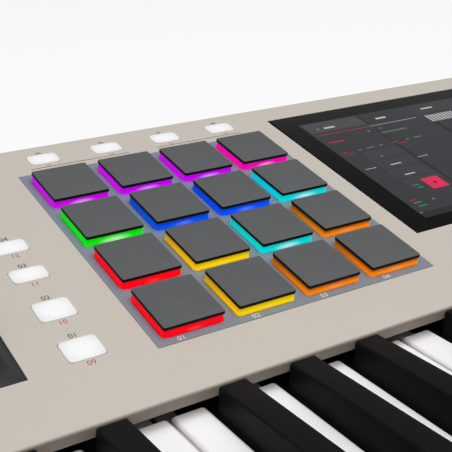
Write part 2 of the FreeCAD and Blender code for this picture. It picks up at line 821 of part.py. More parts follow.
def padPiece(number):
    """Flared rubber pad with its neck and the flange that holds it under the plate."""
    column = number % 4
    row = number // 4
    name = "Pad%d" % (number + 1)
    body = newBody(name, panelPlace(padX + column * size["pad_pitch"], row * size["pad_pitch"]))
    foot = size["pad_top"] + 2 * size["pad_flare"]
    outline = softRectangle(0, 0, foot, foot, size["pad_corner"])
    crown = newSketch(body, name + "Crown", "XY_Plane", plateTop)
    polygon(crown, outline)
    block = pad(body, crown, "Sizes.pad_rise")
    flared = draftWalls(body, block, plateTop, "atan(Sizes.pad_flare / Sizes.pad_rise)")
    bevelTop(body, flared, 0, "Sizes.pad_edge")
    neck = newSketch(body, name + "Neck", "XY_Plane", plateTop)
    polygon(neck, outline)
    pad(body, neck, "Sizes.plate_depth + Sizes.fit_gap", True)
    hem = plateTop - size["plate_depth"] - size["fit_gap"]
    flange = newSketch(body, name + "Flange", "XY_Plane", hem)
    side = size["pad_flange"]
    rectangle(flange, -side / 2, -side / 2, side, side)
    pad(body, flange, "Sizes.pad_flange_depth", True)
    keep(body, "pad_%d" % (number + 1))


def button(name, x, y, kind, flats=2):
    """Key cap with its flange below the panel and its stem over the board."""
    body = newBody(name, panelPlace(x, y))
    width = size["button_width"]
    depth = size["button_" + kind]
    top = surface + size["button_proud"]
    low = underside - size["fit_gap"]
    cap = newSketch(body, name + "Cap", "XY_Plane", low)
    polygon(cap, softRectangle(0, 0, width, depth, size["button_corner"], flats))
    block = pad(body, cap, "Sizes.button_proud + Sizes.panel_wall + Sizes.fit_gap")
    bevelTop(body, block, top, "Sizes.button_bevel")
    flange = newSketch(body, name + "Flange", "XY_Plane", low)
    rim = size["button_flange"]
    rectangle(flange, -width / 2 - rim, -depth / 2 - rim, width + 2 * rim, depth + 2 * rim)
    pad(body, flange, "Sizes.button_web", True)
    stem = newSketch(body, name + "Stem", "XY_Plane", low)
    side = size["button_stem"]
    rectangle(stem, -side / 2, -side / 2, side, side)
    pad(body, stem, "Sizes.board_drop - Sizes.panel_wall - Sizes.fit_gap"
        " - Sizes.button_travel - Sizes.fit_gap", True)
    return body


def group(label, pieces):
    item = doc.addObject("Part::Compound", label)
    item.Links = pieces
    return keep(item, label)


def panelButtons():
    for name, x, y, kind in leftButtons + bankButtons:
        keep(button(name, x, y, kind), name)
    for label, places in (("transport", transportButtons), ("function", functionButtons)):
        pieces = []
        for k, (name, x, y, kind) in enumerate(places):
            pieces.append(button("%s%d" % (label, k + 1), x, y, kind, cornerFlats(name)))
        group(label + "_buttons", pieces)


def flutedKnob(body, name, radius, height, sides):
    """Tapered knob with flats round it, and the shaft that enters its encoder."""
    low = surface + size["knob_float"]
    skirt = newSketch(body, name + "Skirt", "XY_Plane", low)
    polygon(skirt, ring(0, 0, size[radius], sides))
    block = pad(body, skirt, "Sizes." + height)
    grip = draftWalls(body, block, low, "atan(Sizes.knob_taper / Sizes.%s)" % height)
    bevelTop(body, grip, low + size[height], "Sizes.knob_bevel")
    shaft = newSketch(body, name + "Shaft", "XY_Plane", low)
    polygon(shaft, ring(0, 0, size["shaft_radius"], shaftSides))
    pad(body, shaft, "Sizes.board_drop + Sizes.knob_float - Sizes.shaft_float", True)


def knob(label, x, y, radius):
    """Knob with a pointer slot in its top."""
    name = label.title().replace("_", "")
    body = newBody(name, panelPlace(x, y))
    flutedKnob(body, name, radius, "knob_height", knobSides)
    top = surface + size["knob_float"] + size["knob_height"]
    mark = newSketch(body, name + "Mark", "XY_Plane", top + 1)
    slot = size["knob_slot"]
    rectangle(mark, -slot / 2, size[radius] / 4, slot, size[radius])
    pocket(body, mark, "Sizes.knob_slot_depth + 1")
    keep(body, label)


def dial():
    """Large dial with a dish for one finger."""
    body = newBody("DataDial", panelPlace(dataDial[0], dataDial[1]))
    flutedKnob(body, "Dial", "dial_radius", "dial_height", wheelSides)
    top = surface + size["knob_float"] + size["dial_height"]
    dish = newSketch(body, "DialDish", "XY_Plane", top + 1)
    reach = size["dial_radius"] - size["knob_taper"] - 3 * size["knob_bevel"]
    polygon(dish, ring(0, reach - size["dish_radius"], size["dish_radius"], shaftSides))
    pocket(body, dish, "Sizes.dish_depth + 1")
    keep(body, "data_dial")


def knobs():
    for k, (x, y) in enumerate(parameterKnobs):
        knob("parameter_knob_%d" % (k + 1), x, y, "knob_radius")
    knob("volume_knob", volumeKnob[0], volumeKnob[1], "volume_radius")
    dial()


def controlBoards():
    """Boards under the pads and the buttons, with the encoders that carry the knobs."""
    half = size["plate_side"] / 2 + size["pad_board_rim"]
    place = panelPlace(padX + fieldMid - half, fieldMid - half, padBoardTop - size["board_depth"])
    side = "Sizes.plate_side + Sizes.pad_board_rim * 2"
    pieces = [box("PadSensorBoard", place, side, side, "Sizes.board_depth")]
    for k, (left, front, width, depth) in enumerate(boards):
        place = panelPlace(left, front, boardTop - size["board_depth"])
        pieces.append(box("Board%d" % k, place, str(width), str(depth), "Sizes.board_depth"))
    bores = []
    half = size["encoder_side"] / 2
    gap = size["fit_gap"]
    bore = size["shaft_radius"] + size["shaft_slack"]
    side = "Sizes.shaft_radius * 2 + Sizes.shaft_slack * 2"
    for k, (x, y) in enumerate(encoders):
        place = panelPlace(x - half, y - half, boardTop - gap)
        pieces.append(box("Encoder%d" % k, place, "Sizes.encoder_side", "Sizes.encoder_side",
                          "Sizes.board_drop - Sizes.panel_wall"))
        place = panelPlace(x - bore, y - bore, boardTop + size["shaft_float"] - gap)
        bores.append(box("ShaftBore%d" % k, place, side, side, "Sizes.board_drop"))
    keep(cut("ControlBoards", fuse("BoardSolids", pieces), fuse("ShaftBores", bores)),
         "control_boards")


def display():
    low = surface + size["glass_proud"] - size["glass_depth"]
    place = panelPlace(-size["glass_left"], size["glass_front"], low)
    glass = box("DisplayGlass", place, "Sizes.glass_width", "Sizes.glass_height",
                "Sizes.glass_depth")
    keep(glass, "display_glass")
    rim = size["screen_rim"]
    place = panelPlace(-size["glass_left"] + size["screen_left"] - rim,
                       size["glass_front"] + size["screen_front"] - rim,
                       low - size["screen_depth"])
    module = box("DisplayModule", place, "Sizes.screen_width + Sizes.screen_rim * 2",
                 "Sizes.screen_height + Sizes.screen_rim * 2", "Sizes.screen_depth")
    keep(module, "display_module")


def wheelBezel():
    """Black surround of the two wheels, with the walls that carry their axles."""
    body = newBody("WheelBezel", panelPlace(bezelX, size["bezel_centre"]))
    wide = size["bezel_width"]
    deep = size["bezel_length"]
    plan = newSketch(body, "BezelPlan", "XY_Plane", surface)
    rectangle(plan, -wide / 2, -deep / 2, wide, deep)
    pad(body, plan, "Sizes.panel_wall", True)
    rim = size["bezel_flange"]
    flange = newSketch(body, "BezelFlange", "XY_Plane", underside)
    rectangle(flange, -wide / 2 - rim, -deep / 2 - rim, wide + 2 * rim, deep + 2 * rim)
    pad(body, flange, "Sizes.bezel_flange_depth", True)
    walls = newSketch(body, "BezelWalls", "XY_Plane", underside)
    thick = size["bezel_wall"]
    long = size["bezel_wall_length"]
    for x in (-wide / 2 + rim, -thick / 2, wide / 2 - rim - thick):
        rectangle(walls, x, -long / 2, thick, long)
    pad(body, walls, "Sizes.wheel_sink - Sizes.panel_wall + Sizes.axle_radius + Sizes.axle_wall", True)
    slots = newSketch(body, "BezelSlots", "XY_Plane", surface + 1)
    slot = size["wheel_width"] + 4 * size["fit_gap"]
    reach = size["wheel_radius"] + 2 * size["fit_gap"]
    for side in (-1, 1):
        rectangle(slots, side * size["wheel_pitch"] / 2 - slot / 2, -reach, slot, 2 * reach)
    pocket(body, slots, "Sizes.panel_wall + Sizes.bezel_flange_depth + 1")
    axle = newSketch(body, "AxleHoles", "YZ_Plane", wide)
    polygon(axle, ring(0, surface - size["wheel_sink"], size["axle_radius"] + size["axle_slack"],
                       shaftSides, True))
    pocket(body, axle, "Sizes.bezel_width * 2")
    keep(body, "wheel_bezel")


def wheel(label, side):
    """Thumb wheel with a finger groove; its axle runs in the bezel's walls."""
    name = label.title().replace("_", "")
    pitch = size["wheel_pitch"]
    body = newBody(name, panelPlace(bezelX + side * pitch / 2, size["bezel_centre"],
                                    surface - size["wheel_sink"]))
    half = size["wheel_width"] / 2
    disc = newSketch(body, name + "Disc", "YZ_Plane", -half)
    polygon(disc, ring(0, 0, size["wheel_radius"], wheelSides))
    drum = pad(body, disc, "Sizes.wheel_width")
    doc.recompute()
    names = pickEdges(drum.Shape, lambda p: near(abs(p.x), half))
    chamfer(body, drum, names, "Sizes.wheel_bevel")
    outer = (size["bezel_width"] - pitch) / 2 - size["bezel_flange"] - size["fit_gap"]
    inner = pitch / 2 - size["fit_gap"]
    axle = newSketch(body, name + "Axle", "YZ_Plane", -outer if side < 0 else -inner)
    polygon(axle, ring(0, 0, size["axle_radius"], shaftSides))
    pad(body, axle, "Sizes.bezel_width / 2 - Sizes.bezel_flange - Sizes.fit_gap * 2")
    groove = newSketch(body, name + "Groove", "YZ_Plane", size["wheel_width"])
    reach = size["wheel_radius"] + size["groove_radius"] - size["groove_depth"]
    polygon(groove, ring(0, reach, size["groove_radius"], shaftSides))
    pocket(body, groove, "Sizes.wheel_width * 2")
    keep(body, label)


def slotEdges(index):
    """Left and right edge of one of the twelve key tails of an octave."""
    first = 3 * size["white_pitch"] / 5
    second = 4 * size["white_pitch"] / 7
    if index < 5:
        return index * first, (index + 1) * first
    start = 3 * size["white_pitch"] + (index - 5) * second
    return start, start + second


def whiteOutline(place, tail, inset):
    """Plan of a white key: wide head at the front, narrower tail between black keys."""
    half = size["key_gap"] / 2
    left = place * size["white_pitch"] + half
    right = (place + 1) * size["white_pitch"] - half
    tailLeft, tailRight = left, right
    if tail is not None:
        start, end = slotEdges(tail)
        tailLeft = max(left, start + half)
        tailRight = min(right, end - half)
    back = lipY - size["black_reach"] - size["key_gap"]
    front = keyFront
    points = [(left + inset, front + inset), (right - inset, front + inset)]
    if right - tailRight > 0.1:
        points += [(right - inset, back - inset), (tailRight - inset, back - inset)]
    corner = size["white_corner"]
    points += [(tailRight - inset, whiteEnd - corner - inset),
               (tailRight - corner - inset, whiteEnd - inset),
               (tailLeft + corner + inset, whiteEnd - inset),
               (tailLeft + inset, whiteEnd - corner - inset)]
    if tailLeft - left > 0.1:
        points += [(tailLeft + inset, back - inset), (left + inset, back - inset)]
    return points, (tailLeft + tailRight) / 2


def keyArm(body, name, middle, end, rodZ):
    """Arm from the key's end back to its hinge rod."""
    start = end - size["white_wall"]
    wide = size["arm_width"]
    arm = newSketch(body, name + "Arm", "XY_Plane", rodZ - size["arm_height"] / 2)
    rectangle(arm, middle - wide / 2, start, wide, hingeY - start)
    pad(body, arm, "Sizes.arm_height")


def whiteKey(name, place, tail, rodZ):
    """Moulded white key, hollow below, with its top edges bevelled."""
    body = newBody(name, levelPlace())
    outline, middle = whiteOutline(place, tail, 0)
    plan = newSketch(body, name + "Plan", "XY_Plane", whiteBottom)
    polygon(plan, outline)
    block = pad(body, plan, "Sizes.white_height")
    bevelTop(body, block, size["white_top"], "Sizes.white_bevel")
    wall = size["white_wall"]
    hollow = newSketch(body, name + "Hollow", "XY_Plane", size["white_top"] - wall)
    polygon(hollow, whiteOutline(place, tail, wall)[0])
    pocket(body, hollow, "Sizes.white_height - Sizes.white_wall")
    keyArm(body, name, middle, whiteEnd, rodZ)
    return body


def blackKey(name, tail, rodZ):
    """Moulded black key: hollow beam with a shoulder and a tapered, rising cap."""
    body = newBody(name, levelPlace())
    start, end = slotEdges(tail)
    middle = (start + end) / 2
    edge = size["black_shoulder"]
    front = lipY - size["black_reach"]
    wide = size["black_width"]
    full = wide + 2 * edge
    shoulder = size["white_top"] - size["key_gap"]
    beam = newSketch(body, name + "Beam", "XY_Plane", shoulder - size["black_height"])
    rectangle(beam, middle - full / 2, front, full, tailEnd - front)
    pad(body, beam, "Sizes.black_height")
    cap = newSketch(body, name + "Cap", "XY_Plane", shoulder)
    lip = lipY - size["black_lip_gap"]
    high = size["white_top"] + size["black_front_rise"]
    rectangle(cap, middle - wide / 2, front + edge, wide, whiteEnd - front)
    block = pad(body, cap, "Sizes.black_front_rise + Sizes.key_gap * 2")
    draftWalls(body, block, shoulder, "Sizes.black_taper")
    trim = newSketch(body, name + "Trim", "YZ_Plane", middle + wide)
    step = shoulder + 2 * edge
    over = high + size["key_gap"] * 3
    polygon(trim, [(front - edge, step), (front + edge, step),
                   (front + size["black_slope"], high), (lip, size["white_top"]
                    + size["black_back_rise"]), (lip, shoulder), (tailEnd, shoulder),
                   (tailEnd, over), (front - edge, over)])
    trimmed = pocket(body, trim, "Sizes.black_width * 2")
    doc.recompute()
    onCap = lambda p: p.z > step + 1 and p.y < lip + 0.01
    onBack = pickEdges(trimmed.Shape, lambda p: near(p.y, lip))
    names = [name for name in pickEdges(trimmed.Shape, onCap) if name not in onBack]
    chamfer(body, trimmed, names, "Sizes.black_bevel")
    wall = size["white_wall"]
    hollow = newSketch(body, name + "Hollow", "XY_Plane", shoulder - wall)
    rectangle(hollow, middle - full / 2 + wall, front + wall, full - 2 * wall,
              tailEnd - front - 2 * wall)
    pocket(body, hollow, "Sizes.black_height - Sizes.white_wall")
    keyArm(body, name, middle, tailEnd, rodZ)
    return body


def rod(name, left, right, height):
    """Hinge rod along the keys, lying level across the unit."""
    turn = FreeCAD.Rotation(FreeCAD.Vector(0, 1, 0), 90)
    return prism(name, levelPlace(left, hingeY, height, turn), shaftSides, "Sizes.hinge_rod",
                 str(right - left))


def copyOf(name, source, x):
    item = doc.addObject("App::Link", name)
    item.LinkedObject = source
    item.LinkTransform = True
    item.Placement = levelPlace(x)
    return item


def keyCombs():
    """Three moulded combs for each octave, each with one hinge rod of its own."""
    heights = [hingeTop - k * size["hinge_step"] for k in range(3)]
    combs = [
        ("white_keys_c_e_g_b", [("C", 0, 0), ("E", 2, 4), ("G", 4, 7), ("B", 6, 11)]),
        ("white_keys_d_f_a", [("D", 1, 2), ("F", 3, 5), ("A", 5, 9)]),
        ("black_keys", [("Cs", None, 1), ("Ds", None, 3), ("Fs", None, 6), ("Gs", None, 8),
                        ("As", None, 10)]),
    ]
    for (label, notes), height in zip(combs, heights):
        masters = []
        for name, place, tail in notes:
            if place is None:
                masters.append(blackKey("Key" + name, tail, height))
            else:
                masters.append(whiteKey("Key" + name, place, tail, height))
        left = slotEdges(notes[0][2])[0] + size["rod_inset"]
        right = slotEdges(notes[-1][2])[1] - size["rod_inset"]
        for turn in range(octaves):
            start = keyLeft + turn * octave
            prefix = "%s%d" % (label.title().replace("_", ""), turn + 1)
            pieces = [copyOf("%s%s" % (prefix, item.Name), item, start) for item in masters]
            end = right
            if notes[0][0] == "C" and turn + 1 == octaves:
                pieces.append(copyOf("TopC", whiteKey("KeyTopC", 0, None, height), start + octave))
                end = octave + size["white_pitch"] - 2 * size["rod_inset"]
            pieces.append(rod(prefix + "Rod", start + left, start + end, height))
            keep(fuse(prefix, pieces), "%s_%d" % (label, turn + 1))


def keybedFrame():
    """Chassis with the hinge wall behind the keys and a guide post under each white key."""
    gap = size["key_gap"]
    wide = str(-2 * keyLeft - gap)
    left = keyLeft + gap / 2
    front = keyFront + 2 * size["white_wall"]
    back = hingeY + size["hinge_wall"]
    pieces = [
        box("KeybedBase", levelPlace(left, front, trayFloor), wide, str(back - front),
            "Sizes.frame_depth"),
        box("HingeWall", levelPlace(left, hingeY, trayFloor), wide, "Sizes.hinge_wall",
            "Sizes.white_top - Sizes.key_gap - Sizes.case_floor - Sizes.case_wall"),
    ]
    post = front + size["guide_inset"]
    for k in range(keyspan):
        x = keyLeft + (k + 0.5) * size["white_pitch"] - size["guide_width"] / 2
        pieces.append(box("GuidePost%d" % k, levelPlace(x, post, trayFloor), "Sizes.guide_width",
                          "Sizes.guide_depth", str(whiteBottom + size["guide_rise"] - trayFloor)))
    grooves = []
    turn = FreeCAD.Rotation(FreeCAD.Vector(0, 1, 0), 90)
    for k in range(3):
        groove = doc.addObject("Part::Cylinder", "HingeGroove%d" % k)
        groove.setExpression("Radius", "Sizes.hinge_rod + Sizes.hinge_slack")
        groove.setExpression("Height", "Sizes.white_pitch * %d" % keyspan)
        groove.Placement = levelPlace(keyLeft, hingeY, hingeTop - k * size["hinge_step"], turn)
        grooves.append(groove)
    keep(cut("KeybedFrame", fuse("KeybedSolid", pieces), fuse("HingeGrooves", grooves)),
         "keybed_frame")


def mainBoard():
    place = levelPlace(mainLeft, mainFront, size["socket_board"])
    keep(box("MainBoard", place, "Sizes.main_board_width", "Sizes.main_board_depth",
             "Sizes.board_depth"), "main_circuit_board")


def boardSocket(name, x, width, depth, height):
    """Square housing that stands on the main board, against the rear wall."""
    place = levelPlace(x - size[width] / 2, socketBack - size[depth], socketTop)
    return box(name, place, "Sizes." + width, "Sizes." + depth, "Sizes." + height)


def jack(name, x, kind, height):
    """Body and threaded bush of a jack, and the bore for its plug."""
    body = boardSocket(name + "Body", x, kind + "_width", kind + "_depth", height)
    bush = backwards(name + "Bush", x, socketBack - 1, jackZ, socketSides,
                     "Sizes.%s_radius" % kind, "Sizes.case_wall + Sizes.socket_proud + 1")
    start = socketBack - size[kind + "_depth"] + size["jack_bore"]
    bore = backwards(name + "Bore", x, start, jackZ, socketSides, "Sizes.%s_bore" % kind,
                     "Sizes.%s_depth + Sizes.socket_proud" % kind)
    return [body, bush], bore


def audioJacks():
    """Quarter-inch jacks and small control jacks on the main board."""
    solids = []
    bores = []
    rows = [("Jack", jackPlaces, "jack", "jack_box"),
            ("ControlJack", controlJacks, "control_jack", "control_jack_height")]
    for name, places, kind, height in rows:
        for k, x in enumerate(places):
            pieces, bore = jack("%s%d" % (name, k), x, kind, height)
            solids += pieces
            bores.append(bore)
    keep(cut("AudioJacks", fuse("JackSolids", solids), fuse("JackBores", bores)), "audio_jacks")


def metalSocket(name, x, width, height):
    """Sheet metal socket that passes through the rear wall."""
    proud = socketBack - size["data_depth"]
    place = levelPlace(x - size[width] / 2, proud, socketTop)
    return box(name, place, "Sizes." + width, "Sizes.data_depth + Sizes.case_wall + Sizes.metal_proud",
               "Sizes." + height)


def mouth(name, x, width, low, height):
    """Hollow of a metal socket, open to the rear."""
    place = levelPlace(x - width / 2, size["rear_wall"] - size["mouth_depth"], socketTop + low)
    return box(name, place, str(width), "Sizes.mouth_depth + 2", str(height))


def dataSockets():
    """Round five-pin sockets, the two data sockets, the power inlet and the switch's housing."""
    rim = size["metal_wall"]
    solids = []
    for k, x in enumerate(midiPlaces):
        solids.append(boardSocket("MidiBody%d" % k, x, "midi_width", "data_depth", "midi_height"))
        solids.append(backwards("MidiFace%d" % k, x, socketBack - 1, jackZ, socketSides,
                                "Sizes.midi_radius", "Sizes.case_wall + 1"))
    solids.append(metalSocket("HostSocket", hostX, "host_width", "host_height"))
    solids.append(metalSocket("DeviceSocket", deviceX, "device_width", "device_height"))
    inletZ = jackZ - size["inlet_drop"]
    solids.append(boardSocket("InletBody", inletX, "control_jack_width", "control_jack_depth",
                              "control_jack_height"))
    solids.append(backwards("InletFace", inletX, socketBack - 1, inletZ, socketSides,
                            "Sizes.inlet_radius", "Sizes.case_wall + 1"))
    solids.append(boardSocket("SwitchBody", powerX, "jack_box", "data_depth", "jack_box"))
    wide = size["device_width"] * 2 / 3
    host = size["host_width"] - 2 * rim
    hollows = [
        mouth("HostMouth", hostX, host, rim, size["host_height"] / 2),
        mouth("DeviceMouth", deviceX, wide, 2 * rim, size["device_height"] / 5),
        mouth("DeviceRoof", deviceX, wide, size["device_height"] * 2 / 3,
              size["device_height"] / 5),
        cut("InletRing",
            backwards("InletWide", inletX, socketBack - size["inlet_depth"], inletZ,
                      socketSides, "Sizes.inlet_bore", "Sizes.inlet_depth * 2"),
            backwards("InletPin", inletX, socketBack - size["inlet_depth"] - overrun, inletZ,
                      bossSides, "Sizes.inlet_bore / 3", "Sizes.mouth_depth")),
        backwards("SwitchBore", powerX, socketBack - size["mouth_depth"], jackZ, socketSides,
                  "Sizes.power_stem + Sizes.fit_gap", "Sizes.mouth_depth + 2"),
    ]
    keep(cut("DataSockets", fuse("SocketSolids", solids), fuse("SocketHollows", hollows)),
         "data_sockets")


def powerButton():
    """Round push button of the power switch, in the rear wall."""
    front = wallInside + size["power_travel"] + size["power_float"]
    cap = backwards("PowerCap", powerX, front, jackZ, socketSides, "Sizes.power_radius",
                    "Sizes.front_edge - Sizes.rear_wall + Sizes.case_wall"
                    " - Sizes.power_travel - Sizes.power_float")
    stem = backwards("PowerStem", powerX, wallInside - size["power_root"], jackZ, socketSides,
                     "Sizes.power_stem", "Sizes.power_root + Sizes.power_travel"
                     " + Sizes.power_float * 2")
    keep(fuse("PowerButton", [cap, stem]), "power_button")


def rubberFeet():
    pieces = []
    across = size["half_width"] - size["foot_end"]
    along = size["front_edge"] - size["foot_edge"]
    places = [(a * across, b * along) for a in (-1, 1) for b in (-1, 1)]
    for k, (x, y) in enumerate(places):
        pieces.append(prism("Foot%d" % k, levelPlace(x, y, 0), socketSides, "Sizes.foot_radius",
                            "Sizes.case_floor"))
    group("rubber_feet", pieces)


def caseScrews():
    pieces = []
    low = size["case_floor"] + size["screw_sink"]
    for k, (x, y) in enumerate(screwPlaces):
        head = prism("ScrewHead%d" % k, levelPlace(x, y, low), bossSides, "Sizes.screw_head",
                     "Sizes.screw_head_depth")
        shank = prism("ScrewShank%d" % k, levelPlace(x, y, low + 1), bossSides,
                      "Sizes.screw_radius", "Sizes.case_parting + Sizes.screw_rise"
                      " - Sizes.case_floor - Sizes.screw_sink - 2")
        pieces.append(fuse("Screw%d" % k, [head, shank]))
    group("case_screws", pieces)


def checkAndWrite():
    """Stop on any broken piece, then write one file for each node."""
    doc.recompute()
    for item in doc.Objects:
        if "Invalid" in item.State or "Error" in item.State:
            raise RuntimeError("broken step: " + item.Name)
    os.makedirs("parts", exist_ok=True)
    for item in nodes:
        shape = item.Shape
        if shape.isNull() or not shape.isValid() or shape.Volume <= 0:
            raise RuntimeError("bad solid: " + item.Label)
        shape.exportStep("parts/%s.step" % item.Label)
        print("%-28s solids %2d  volume %10.1f" % (item.Label, len(shape.Solids), shape.Volume))
    print("nodes", len(nodes))


topCase()
rearPanel()
bottomCase()
cheek("left_cheek", -1)
cheek("right_cheek", 1)
padSurround()
for number in range(16):
    padPiece(number)
panelButtons()
knobs()
controlBoards()
display()
wheelBezel()
wheel("pitch_wheel", -1)
wheel("mod_wheel", 1)
keyCombs()
keybedFrame()
mainBoard()
audioJacks()
dataSockets()
powerButton()
rubberFeet()
caseScrews()
checkAndWrite()
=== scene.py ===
import bpy
import bmesh
import json
import math
from mathutils import Matrix, Vector


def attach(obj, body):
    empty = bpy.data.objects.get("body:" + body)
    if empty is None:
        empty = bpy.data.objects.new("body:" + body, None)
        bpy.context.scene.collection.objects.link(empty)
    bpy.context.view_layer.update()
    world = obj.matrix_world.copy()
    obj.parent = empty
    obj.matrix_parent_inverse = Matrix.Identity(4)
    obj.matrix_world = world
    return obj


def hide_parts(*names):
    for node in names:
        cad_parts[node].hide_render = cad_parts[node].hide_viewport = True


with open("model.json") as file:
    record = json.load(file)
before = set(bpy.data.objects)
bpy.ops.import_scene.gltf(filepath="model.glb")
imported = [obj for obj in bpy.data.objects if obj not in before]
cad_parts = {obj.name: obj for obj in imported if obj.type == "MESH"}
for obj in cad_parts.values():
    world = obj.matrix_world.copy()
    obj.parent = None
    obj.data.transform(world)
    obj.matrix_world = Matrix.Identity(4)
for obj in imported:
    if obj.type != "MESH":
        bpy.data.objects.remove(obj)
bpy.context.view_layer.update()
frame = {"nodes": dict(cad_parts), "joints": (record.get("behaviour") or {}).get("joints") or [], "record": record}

nodes = frame["nodes"]
bodyOf = {name: body for body, names in frame["record"]["behaviour"]["bodies"].items()
          for name in names}
slotOf = {part["node"]: part["material_slot"] for part in frame["record"]["subparts"]}
joints = {joint["name"]: joint for joint in frame["joints"]}
mm = 0.001


# The panel's own axes: x to the right, y up the slope, z out of its surface.
panel = {
    "knobRow": 18 * mm,  # first parameter knob, behind the middle of the first row of pads
}
firstKnob = Vector(joints["parameter_knob_1_turn"]["pos_m"])
lastKnob = Vector(joints["parameter_knob_4_turn"]["pos_m"])
acrossPanel = Vector((1, 0, 0))
upPanel = (lastKnob - firstKnob).normalized()
outOfPanel = acrossPanel.cross(upPanel)
panelOrigin = firstKnob - acrossPanel * firstKnob.x - upPanel * panel["knobRow"]
panelAxes = Matrix((acrossPanel, upPanel, outOfPanel)).transposed().to_4x4()
onPanel = Matrix.Translation(panelOrigin) @ panelAxes
fromPanel = onPanel.inverted()


def atPanel(x, y, z=0):
    return onPanel @ Matrix.Translation((x, y, z))


def panelBox(name):
    points = [fromPanel @ vertex.co for vertex in nodes[name].data.vertices]
    low = Vector([min(point[k] for point in points) for k in range(3)])
    high = Vector([max(point[k] for point in points) for k in range(3)])
    return low, high


def middleOf(name):
    low, high = panelBox(name)
    return (low + high) / 2


def surfaceOf(name):
    return panelBox(name)[1].z


def highest(name):
    return max(vertex.co.z for vertex in nodes[name].data.vertices)


def linear(red, green, blue):
    # Colours are written from 0 to 255, as a picture has them.
    def one(value):
        share = value / 255
        return share / 12.92 if share <= 0.04045 else ((share + 0.055) / 1.055) ** 2.4
    return (one(red), one(green), one(blue), 1)


# Modelling helpers: each acts on what is selected.
facing = 0.9  # a face looks one way when this much of its normal does
tiny = 0.01 * mm  # corners whose heights differ by less lie at one height
decimals = 5  # places that agree this far in metres are one place


def only(piece):
    bpy.ops.object.select_all(action="DESELECT")
    piece.select_set(True)
    bpy.context.view_layer.objects.active = piece


def selectFaces(piece, test):
    bpy.ops.mesh.select_mode(type="FACE")
    bpy.ops.mesh.select_all(action="DESELECT")
    mesh = bmesh.from_edit_mesh(piece.data)
    for face in mesh.faces:
        if test(face.normal):
            face.select_set(True)
    bmesh.update_edit_mesh(piece.data)


def selectEdges(piece, test):
    bpy.ops.mesh.select_mode(type="EDGE")
    bpy.ops.mesh.select_all(action="DESELECT")
    mesh = bmesh.from_edit_mesh(piece.data)
    for edge in mesh.edges:
        if test(edge.verts[0].co, edge.verts[1].co):
            edge.select_set(True)
    bmesh.update_edit_mesh(piece.data)


def extrude(distance):
    bpy.ops.mesh.extrude_region_move(TRANSFORM_OT_translate={"value": (0, 0, distance)})


def stretch(across, along):
    bpy.ops.transform.resize(value=(across, along, 1), center_override=(0, 0, 0))


def block(name, width, depth, low, high, corner=0.0, steps=6):
    bpy.ops.object.select_all(action="DESELECT")
    bpy.ops.mesh.primitive_cube_add(size=1, location=(0, 0, (low + high) / 2))
    piece = bpy.context.object
    piece.name = name
    piece.scale = (width, depth, high - low)
    bpy.ops.object.transform_apply(location=True, rotation=True, scale=True)
    if corner:
        bpy.ops.object.mode_set(mode="EDIT")
        selectEdges(piece, lambda a, b: abs(a.z - b.z) > (high - low) / 2)
        bpy.ops.mesh.bevel(offset=corner, segments=steps, affect="EDGES")
        bpy.ops.object.mode_set(mode="OBJECT")
    return piece


def disc(name, radius, low, high, sides=32):
    bpy.ops.object.select_all(action="DESELECT")
    bpy.ops.mesh.primitive_cylinder_add(vertices=sides, radius=radius, depth=high - low,
                                        location=(0, 0, (low + high) / 2))
    piece = bpy.context.object
    piece.name = name
    bpy.ops.object.transform_apply(location=True, rotation=True, scale=True)
    return piece


def smooth(piece, angle=35):
    only(piece)
    bpy.ops.object.shade_smooth_by_angle(angle=math.radians(angle))


def soften(piece, width, steps=3, angle=40):
    only(piece)
    edge = piece.modifiers.new("softEdge", "BEVEL")
    edge.width = width
    edge.segments = steps
    edge.limit_method = "ANGLE"
    edge.angle_limit = math.radians(angle)
    bpy.ops.object.modifier_apply(modifier=edge.name)
    smooth(piece)


def mapFromTop(piece, halfWidth, halfDepth):
    # The map runs from -1 to 1 across the piece, seen from above.
    layer = piece.data.uv_layers.active or piece.data.uv_layers.new(name="fromTop")
    for corner in piece.data.loops:
        place = piece.data.vertices[corner.vertex_index].co
        layer.data[corner.index].uv = (place.x / halfWidth, place.y / halfDepth)


def mapWalls(piece, half, low, high, sideways=0.7):
    # Across the front wall the map runs from -1 to 1, then on round the corners to the back,
    # and from 0 to 1 going up.
    layer = piece.data.uv_layers.active or piece.data.uv_layers.new(name="walls")
    for face in piece.data.polygons:
        for corner in face.loop_indices:
            place = piece.data.vertices[piece.data.loops[corner].vertex_index].co
            if face.normal.y < -sideways:
                along = place.x / half
            elif face.normal.x < -sideways:
                along = -2 - place.y / half
            elif face.normal.x > sideways:
                along = 2 + place.y / half
            else:
                along = 4 if place.y > 0 else place.x / half
            layer.data[corner].uv = (along, (place.z - low) / (high - low))


def copyPiece(master, name, place):
    piece = bpy.data.objects.new(name, master.data.copy())
    bpy.context.scene.collection.objects.link(piece)
    piece.data.transform(place)
    return piece


def remove(piece):
    bpy.data.objects.remove(piece)


def join(pieces, name):
    if len(pieces) > 1:
        only(pieces[0])
        for piece in pieces[1:]:
            piece.select_set(True)
        bpy.ops.object.join()
    pieces[0].name = name
    return pieces[0]


def settle(piece, body, material, stands=None):
    piece.data.materials.clear()
    piece.data.materials.append(material)
    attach(piece, body)
    if stands:
        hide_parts(stands)
    return piece


def addShadeBand(piece, test):
    # Faces that pass the test get the near-black finish: painted shade on a cap's sides, and a dark, unlit skirt
    # below the plate.
    piece.data.materials.append(finishes["shadeBand"])
    for face in piece.data.polygons:
        if test(face):
            face.material_index = 1


